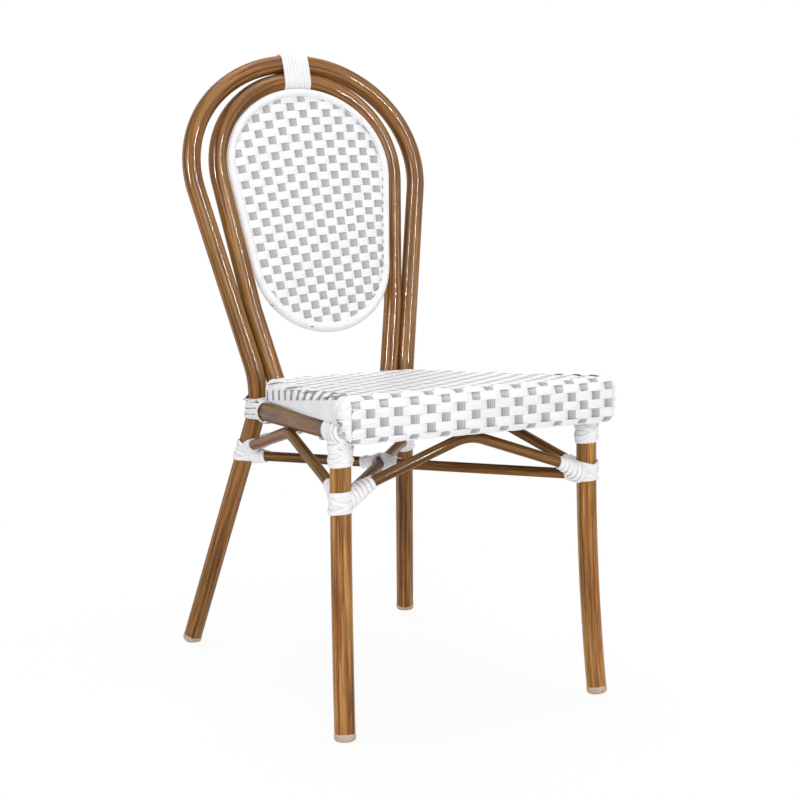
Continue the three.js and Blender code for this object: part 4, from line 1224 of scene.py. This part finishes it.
def add_rim():
    """The white winding round the panel's hoop, turn by turn."""
    turns = round(len(RIM) * RIM_STEP / RIM_TURN)
    rings = []
    grains = []
    for i, point in enumerate(RIM):
        way = rim_way(i)
        out = Vector((way.y, -way.x))
        heavy = smoothstep(RIM_HEAVY_BELOW - point.y, 0, RIM_HEAVY_FADE)
        ring = []
        grain = []
        for j, angle in enumerate(turns_of(RIM_SIDES)):
            turn = (i / len(RIM) * turns + j / RIM_SIDES) % 1
            dent = RIM_DENT * max(0, 1 - abs(turn - 0.5) / 0.5) ** 0.35 - RIM_DENT
            radius = BINDING / 2 * (1 + RIM_HEAVY_SHARE * heavy) + dent
            place = point + out * (radius * math.cos(angle) + RIM_HEAVY_OUT * heavy)
            ring.append(on_back(place.x, place.y, PANEL_FORWARD + radius * math.sin(angle)))
            grain.append((radius * angle, RIM_STEP * i + RIM_TURN * j / RIM_SIDES, 0))
        rings.append(ring)
        grains.append(grain)
    build = Build()
    build.skin(rings, grains, endless=True)
    build.piece("rim_winding", WHITE, "binding", ["panel_binding"], 60)


def add_rim_marks():
    """Strips of painted shade in the gaps along the rim's inner edge, and two dark staples in its lower part.
    """
    shade_seams = []
    for i, point in enumerate(RIM):
        way = rim_way(i)
        inner = point - Vector((way.y, -way.x)) * BINDING * 0.5
        if inner.x > 0 and SEAMS_FROM < inner.y < SEAMS_TO and inner.y % SEAM_PITCH < 2:
            shade_seams.append((inner, inner + way * SEAM_LENGTH))
    build = Build()
    # Painted shade: dark strips laid in the gaps at the rim's inner edge; the staples share the same dark
    # material.
    for pairs, forward, wide in ((RIM_SHADE_GAPS + shade_seams, 3.4, 1.3), (RIM_STAPLES, BINDING / 2 + 1.2, 1.6)):
        for start, end in pairs:
            spots = [Vector(start).lerp(Vector(end), i / 4) for i in range(5)]
            stations = [(on_back(*spot, PANEL_FORWARD + forward), OUT_OF_BACK) for spot in spots]
            ribbon(build, stations, wide, 0, 0.5, 0.3)
    build.piece("rim_marks", SHADE_AND_STAPLES, "binding", [], 40)


# Wound joints

ON_TUBE = TUBE / 2 + STRIP_OUT
ON_BRACE = BRACE / 2 + STRIP_OUT


def on_leg(name, toward):
    def place(height):
        centre, along = at_height(LEGS[name], height)
        return centre, along, (toward - along * toward.dot(along)).normalized(), 0
    return place


def on_line(start, direction):
    out = (UP - direction * direction.z).normalized()
    return lambda distance: (start + direction * distance, direction, out, 0)


def sagging(place, zone, drop):
    """The same axis, but lower near its start, where the strip also holds what is below."""
    def lowered(along):
        centre, way, out, half = place(along)
        return centre - Vector((0, 0, drop * (1 - smoothstep(along, *zone)))), way, out, half
    return lowered


def level(radius):
    return lambda along: radius


def tapered(zone, first, last):
    return lambda along: mix(first, last, smoothstep(along, *zone))


def domed(radius, start, depth):
    def at(along):
        into = min(max((start + depth - along) / depth, 0), 0.985)
        return radius * math.sqrt(1 - into * into)
    return at


def on_turn(place, radius, along, angle):
    """A point on a winding and the way that its strip faces there."""
    centre, way, out, half = place(along)
    radial = out * math.cos(angle) + way.cross(out) * math.sin(angle)
    slope = radius(along + 0.5) - radius(along - 0.5)
    middle = centre + out * half * max(-1, min(1, 3 * math.cos(angle)))
    return middle + radial * radius(along), (radial - way * slope).normalized()


def lay(build, stations, width, deep=STRIP_DEEP):
    ribbon(build, stations, width, 0, deep, STRIP_CROWN, STRIP_SHOULDERS)


def coil(build, place, zone, turns, radius, loose=SLIT, seed=0.0, start=0.0):
    """One strip of cane in close turns along a zone, with a slit here and there.

    The place gives the axis at a distance: its centre, its way, the way out that turns start
    from, and half the width of the pair of tubes that the strip goes round.
    """
    pitch = (zone[1] - zone[0]) / (turns + 1)
    stations = []
    widths = []
    for i in range(round(turns * LASH_SIDES) + 1):
        turned = i / LASH_SIDES
        angle = start + 2 * math.pi * turned
        point, out = on_turn(place, radius, zone[0] + pitch * (turned + 0.5), angle)
        tucked = TUCK * (1 - smoothstep(min(turned, turns - turned), 0, TUCK_TURN))
        stations.append((point - out * tucked, out))
        slit = max(0, wander.noise(Vector((turned * 2.3, seed, 0.5))))
        widths.append(pitch * (1.02 - loose * slit))
    lay(build, stations, widths)


def strap(build, place, radius, at, tilt, face, width):
    """A closed turn laid slantwise over the others, highest towards one face."""
    _, way, out, _ = place(at)
    turned_to = math.atan2(face.dot(way.cross(out)), face.dot(out))
    stations = []
    for j in range(LASH_SIDES + 2):
        angle = 2 * math.pi * j / LASH_SIDES
        along = at + tilt * math.cos(angle - turned_to)
        stations.append(on_turn(place, level(radius + STRAP_OVER), along, angle))
    lay(build, stations, width, STRAP_OVER)


def lashing(kind, end, place, zone, turns, radius, straps=(), **manner):
    """One wound joint: close turns, and the straps that lie over them."""
    build = Build()
    coil(build, place, zone, turns, radius, **manner)
    for laid in straps:
        strap(build, place, *laid)
    build.piece(f"{kind}_wrap{end}", GROOVE_SHADED_LASH, "lashing", [f"{kind}_lashing{end}"], 50)


# Lower joint of each leg: heights of its turns, seed, and height, tilt and face of its straps
LOWER_WRAPS = {
    "front_left": ((294, 330), 4, [(306, 7, ACROSS), (316, 6, BEHIND)]),
    "front_right": ((302, 331), 2, [(325, 5, -ACROSS), (325, 5, ACROSS), (311, 5, -ACROSS)]),
    "rear_left": ((299, 331), -2, [(311, 9, ACROSS), (316, -9, ACROSS)]),
    "rear_right": ((290, 326), -4, [(303, 8, -ACROSS), (312, -8, -ACROSS)]),
}
UPPER_SEEDS = {"front_left": 6, "front_right": 4}


def add_leg_windings():
    under_rail = FRONT_RAIL_HEIGHT - RAIL_BAR / 2
    for name, (zone, seed, lower) in LOWER_WRAPS.items():
        place = on_leg(name, Vector((0.3, 1, 0)).normalized())
        straps = [(ON_TUBE, at, tilt, face, LOWER_STRAP_WIDTH) for at, tilt, face in lower]
        lashing("lower", f"_{name}", place, zone, LOWER_TURNS, level(ON_TUBE), straps, seed=seed)
        if name in UPPER_SEEDS:
            zone = (under_rail - UPPER_BELOW_RAIL, LEG_TOP)
            straps = [(ON_TUBE, under_rail + at, tilt, ACROSS, STRAP_WIDTH) for at, tilt in UPPER_STRAPS]
            lashing("upper", f"_{name}", place, zone, UPPER_TURNS, level(ON_TUBE), straps,
                    seed=UPPER_SEEDS[name])


def add_rail_windings():
    """Turns round the side rail's front end and on over the top of the leg."""
    for name, side in SIDES:
        front, rear = side_rail_ends(side)
        place = on_line(front, (rear - front).normalized())
        straps = [(ON_TUBE + STRAP_OVER, at, tilt, UP, STRAP_WIDTH) for at, tilt in RAIL_STRAPS]
        radius = domed(ON_TUBE + RAIL_COIL_OUT, *RAIL_DOME)
        lashing("rail", f"_{name}", place, RAIL_ZONE, RAIL_TURNS, radius, straps, loose=WIDE_SLIT, seed=side)


def add_brace_windings():
    for name, points in ARCHES.items():
        zone, wide, drop = FRONT_ARCH_WRAP if name == "front" else ARCH_WRAP
        for end, path in (("start", points), ("end", points[::-1])):
            place = sagging(on_line(path[0], (path[1] - path[0]).normalized()), zone, drop)
            lashing("arch", f"_{name}_{end}", place, zone, ARCH_TURNS, tapered(zone, wide, ON_BRACE),
                    seed=len(name) + zone[1])
    for name, start in CROSS_ENDS.items():
        zone = LONG_CROSS_ZONE if name == "rear_left" else CROSS_ZONE
        place = on_line(start, (CROSSING - start).normalized())
        radius = tapered(zone, CROSS_FIRST_RADIUS, ON_BRACE)
        lashing("cross", f"_{name}", place, zone, CROSS_TURNS, radius, seed=len(name))


def add_crossing_windings():
    """A sleeve on each side of the crossing and strands that slant over it."""
    near = (CROSS_ENDS["front_left"] - CROSSING).normalized()
    straps = [(ON_BRACE + over, 0, tilt, near, CROSSING_STRAP_WIDTH) for over, tilt in CROSSING_STRAPS]
    radius = level(ON_BRACE + CROSSING_COIL_OUT)
    for name, end in (("front", CROSS_ENDS["front_right"]), ("rear", CROSS_ENDS["rear_left"])):
        place = on_line(CROSSING, (end - CROSSING).normalized())
        lashing("crossing", f"_{name}", place, CROSSING_ZONE, CROSSING_TURNS, radius, straps,
                loose=WIDE_SLIT, seed=len(name))


def rail_strand(build, side, leg, height, end_angle):
    """A strand from round the leg along the outer side of the rail, to an angle over its axis."""
    front, rear = side_rail_ends(side)
    ahead = (front - rear).normalized()
    outward = (ahead.cross(UP) * -side).normalized()
    above = outward.cross(ahead) * -side
    radius = ON_TUBE + STRAP_OVER
    centre, along = at_height(leg, height)
    stations = []
    for i in range(12):
        angle = math.radians(mix(125, 8, i / 11))
        radial = outward * math.cos(angle) - ahead * math.sin(angle)
        radial = (radial - along * radial.dot(along)).normalized()
        stations.append((centre + radial * radius, radial))
    end = radius * math.sin(math.radians(end_angle))
    for i in range(25):
        reach = STRAND_REACH * i / 24
        wanted = mix(height - rear.z, end, smoothstep(reach, 0, STRAND_REACH))
        angle = math.asin(min(max(wanted / radius, -1), 1))
        outset = radius * mix(1, math.cos(angle), smoothstep(reach, 0, 18))
        facing = (outward * math.cos(angle) + above * math.sin(angle)).normalized()
        stations.append((rear + ahead * reach + outward * outset + above * wanted, facing))
    lay(build, stations, STRAND_WIDTH, STRAP_OVER)


def beside(leg, route):
    """Places midway between a rear leg and the end of the inner loop next to it."""
    def place(height):
        one, one_way = at_height(leg, height)
        other, other_way = at_height(route, height)
        along = (one_way + other_way).normalized()
        toward = other - one
        out = (toward - along * toward.dot(along)).normalized()
        return one.lerp(other, 0.5), along, out, toward.dot(out) / 2
    return place


def add_pair_windings():
    for name, route, side in (("rear_right", INNER_LOOP[:9], 1), ("rear_left", INNER_LOOP[-9:][::-1], -1)):
        front, rear = side_rail_ends(side)
        route = [towards(route[0], route[1], -20), *route]
        build = Build()
        coil(build, beside(LEGS[name], route), PAIR_ZONE, PAIR_TURNS, level(ON_TUBE), seed=side)
        for height, end_angle in PAIR_STRANDS:
            rail_strand(build, side, LEGS[name], height, end_angle)
        along_rail = on_line(rear, (front - rear).normalized())
        coil(build, along_rail, STRAND_RING_ZONE, 1, level(ON_TUBE + RAIL_COIL_OUT))
        build.piece(f"seat_wrap_{name}", GROOVE_SHADED_LASH, "lashing", [f"seat_lashing_{name}"], 50)


def add_top_winding():
    def height_of(half_width, centre, end, x):
        return centre + (end - centre) * math.sqrt(1 - (x / half_width) ** 2)

    def place(x):
        outer = height_of(LOOP_HALF_WIDTH, OUTER_CENTRE, LOOP_TOP, x)
        inner = height_of(INNER_HALF_WIDTH, INNER_CENTRE, INNER_TOP, x)
        return on_back(x, (outer + inner) / 2), ACROSS, UP_BACK, (outer - inner) / 2
    lashing("top", "", place, TOP_ZONE, TOP_TURNS, level(ON_TUBE), start=-math.pi / 2)


# Feet

def add_foot(name, leg):
    along = (leg[1] - leg[0]).normalized()
    side = along.orthogonal().normalized()
    other = along.cross(side)
    edge = TUBE / 2 + 0.5
    profile = [
        (edge - 4, 0.2), (edge - 2, 1.2), (edge - 0.6, 2.8), (edge, 4.6), (edge, 9.6), (edge - 0.4, 10.6),
        (edge - 1.5, 11), (11, 11),
    ]
    rings = []
    for radius, up in profile:
        ring = []
        for angle in turns_of(40):
            point = leg[0] + along * up + (side * math.cos(angle) + other * math.sin(angle)) * radius
            if point.z < 0:
                point -= along * (point.z / along.z)
            ring.append(point)
        rings.append(ring)
    build = Build()
    build.skin(rings, [[tuple(p) for p in ring] for ring in rings])
    build.piece(f"glide_{name}", FOOT, "foot", [f"foot_{name}"], 40)


# Room, light and camera

def seen_ray(tree):
    path = node(tree, "ShaderNodeLightPath", {}).outputs
    seen = maths(tree, "MAXIMUM", path["Is Camera Ray"], path["Is Glossy Ray"])
    return maths(tree, "MAXIMUM", seen, path["Is Transmission Ray"])


def add_floor():
    """A pale floor that keeps the shadow and turns plain white farther out."""
    mesh = bpy.data.meshes.new("floor")
    mesh.from_pydata([(-9, -9, 0), (9, -9, 0), (9, 9, 0), (-9, 9, 0)], [], [(0, 1, 2, 3)])
    floor = bpy.data.objects.new("floor", mesh)
    bpy.context.collection.objects.link(floor)
    material, tree, shader = surface("floor_white")
    fill(tree, shader, {"Base Color": (0.97, 0.97, 0.97, 1), "Roughness": 0.9, "Specular IOR Level": 0})
    place = node(tree, "ShaderNodeNewGeometry", {}).outputs["Position"]
    away = node(tree, "ShaderNodeVectorMath", {0: place}, operation="LENGTH").outputs["Value"]
    share = maths(tree, "MULTIPLY", seen_ray(tree), mapped(tree, away, FLOOR_WHITE_SHARE, 1.0, 0.45, 1.3))
    white = node(tree, "ShaderNodeEmission", {"Color": (1, 1, 1, 1), "Strength": 1.0}).outputs["Emission"]
    mixed = node(tree, "ShaderNodeMixShader", {0: share, 1: shader.outputs["BSDF"], 2: white})
    fill(tree, tree.nodes["Material Output"], {"Surface": mixed.outputs["Shader"]})
    mesh.materials.append(material)


def light_room():
    """Plain light all round, soft lamps, and two narrow ones that only show as glints."""
    world = bpy.data.worlds.new("room")
    bpy.context.scene.world = world
    world.use_nodes = True
    tree = world.node_tree
    strength = mapped(tree, seen_ray(tree), ROOM_LIGHT, 1.0)
    fill(tree, tree.nodes["Background"], {"Color": (1, 1, 1, 1), "Strength": strength})
    for name, place, size, power in LAMPS:
        light = bpy.data.lights.new(name, "AREA")
        light.shape = "RECTANGLE"
        light.size, light.size_y = size
        light.energy = power
        lamp = bpy.data.objects.new(name, light)
        lamp.location = place
        lamp.visible_diffuse = not name.endswith("glint")
        lamp.rotation_euler = (LAMP_TARGET - Vector(place)).to_track_quat("-Z", "Y").to_euler()
        bpy.context.collection.objects.link(lamp)


def add_camera():
    data = bpy.data.cameras.new("camera")
    data.lens = LENS
    data.sensor_width = 36
    camera = bpy.data.objects.new("camera", data)
    camera.location = metres(CAMERA_PLACE)
    camera.rotation_euler = (metres(CAMERA_TARGET) - camera.location).to_track_quat("-Z", "Y").to_euler()
    bpy.context.collection.objects.link(camera)
    bpy.context.scene.camera = camera


def dress_nodes():
    """Looks for the part's own nodes, also those that a piece replaces."""
    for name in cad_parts:
        look = CANE
        if name.startswith("foot"):
            look = FOOT
        elif name in ("seat_frame", "apron_bar", "panel_hoop") or "screw" in name:
            look = METAL
        elif any(word in name for word in ("weave", "lashing", "band", "binding")):
            look = WHITE
        materials = bpy.data.objects[name].data.materials
        materials.clear()
        materials.append(look)


# One paint at three brightnesses: painted light makes the front legs lighter, and painted shade makes the
# back loops a little darker and the rails and braces under the seat much darker.
LIT_LEG_CANE = cane_paint("lit_leg_paint", 1.24, 0.25)
CANE = cane_paint("cane_paint", 0.89, 0.25)
SHADED_CANE = cane_paint("shaded_cane_paint", 0.62, 0.08)
WHITE = white_cane("white_cane")
# The lashings' white cane has painted shade in the grooves between its turns.
GROOVE_SHADED_LASH = white_cane("lashing_cane_groove_shade", edge=0.4)
GREY = grey_ribbed("grey_ribbed_cane", 0.97)
PANEL_GREY = grey_ribbed("panel_ribbed_cane", 0.78)
# A darker copy of the ribbed grey, as painted shade, for the side warps.
SHADED_SIDE_GREY = grey_ribbed("shaded_ribbed_cane", 0.6)
# A dark grey for painted shade in the rim's gaps, and for its staples.
SHADE_AND_STAPLES = grey_ribbed("seam_shade_and_staples", 0.35)
FOOT = foot_plastic()
METAL = bare_metal()

add_tubes()
add_seat()
for side_name, side_sign in SIDES:
    add_side_band(side_name, side_sign)
add_back_weave()
add_rim()
add_rim_marks()
add_leg_windings()
add_rail_windings()
add_brace_windings()
add_crossing_windings()
add_pair_windings()
add_top_winding()
for leg_name, leg_path in LEGS.items():
    add_foot(leg_name, leg_path)
dress_nodes()
add_floor()
light_room()
add_camera()
bpy.context.scene.view_settings.view_transform = "Standard"
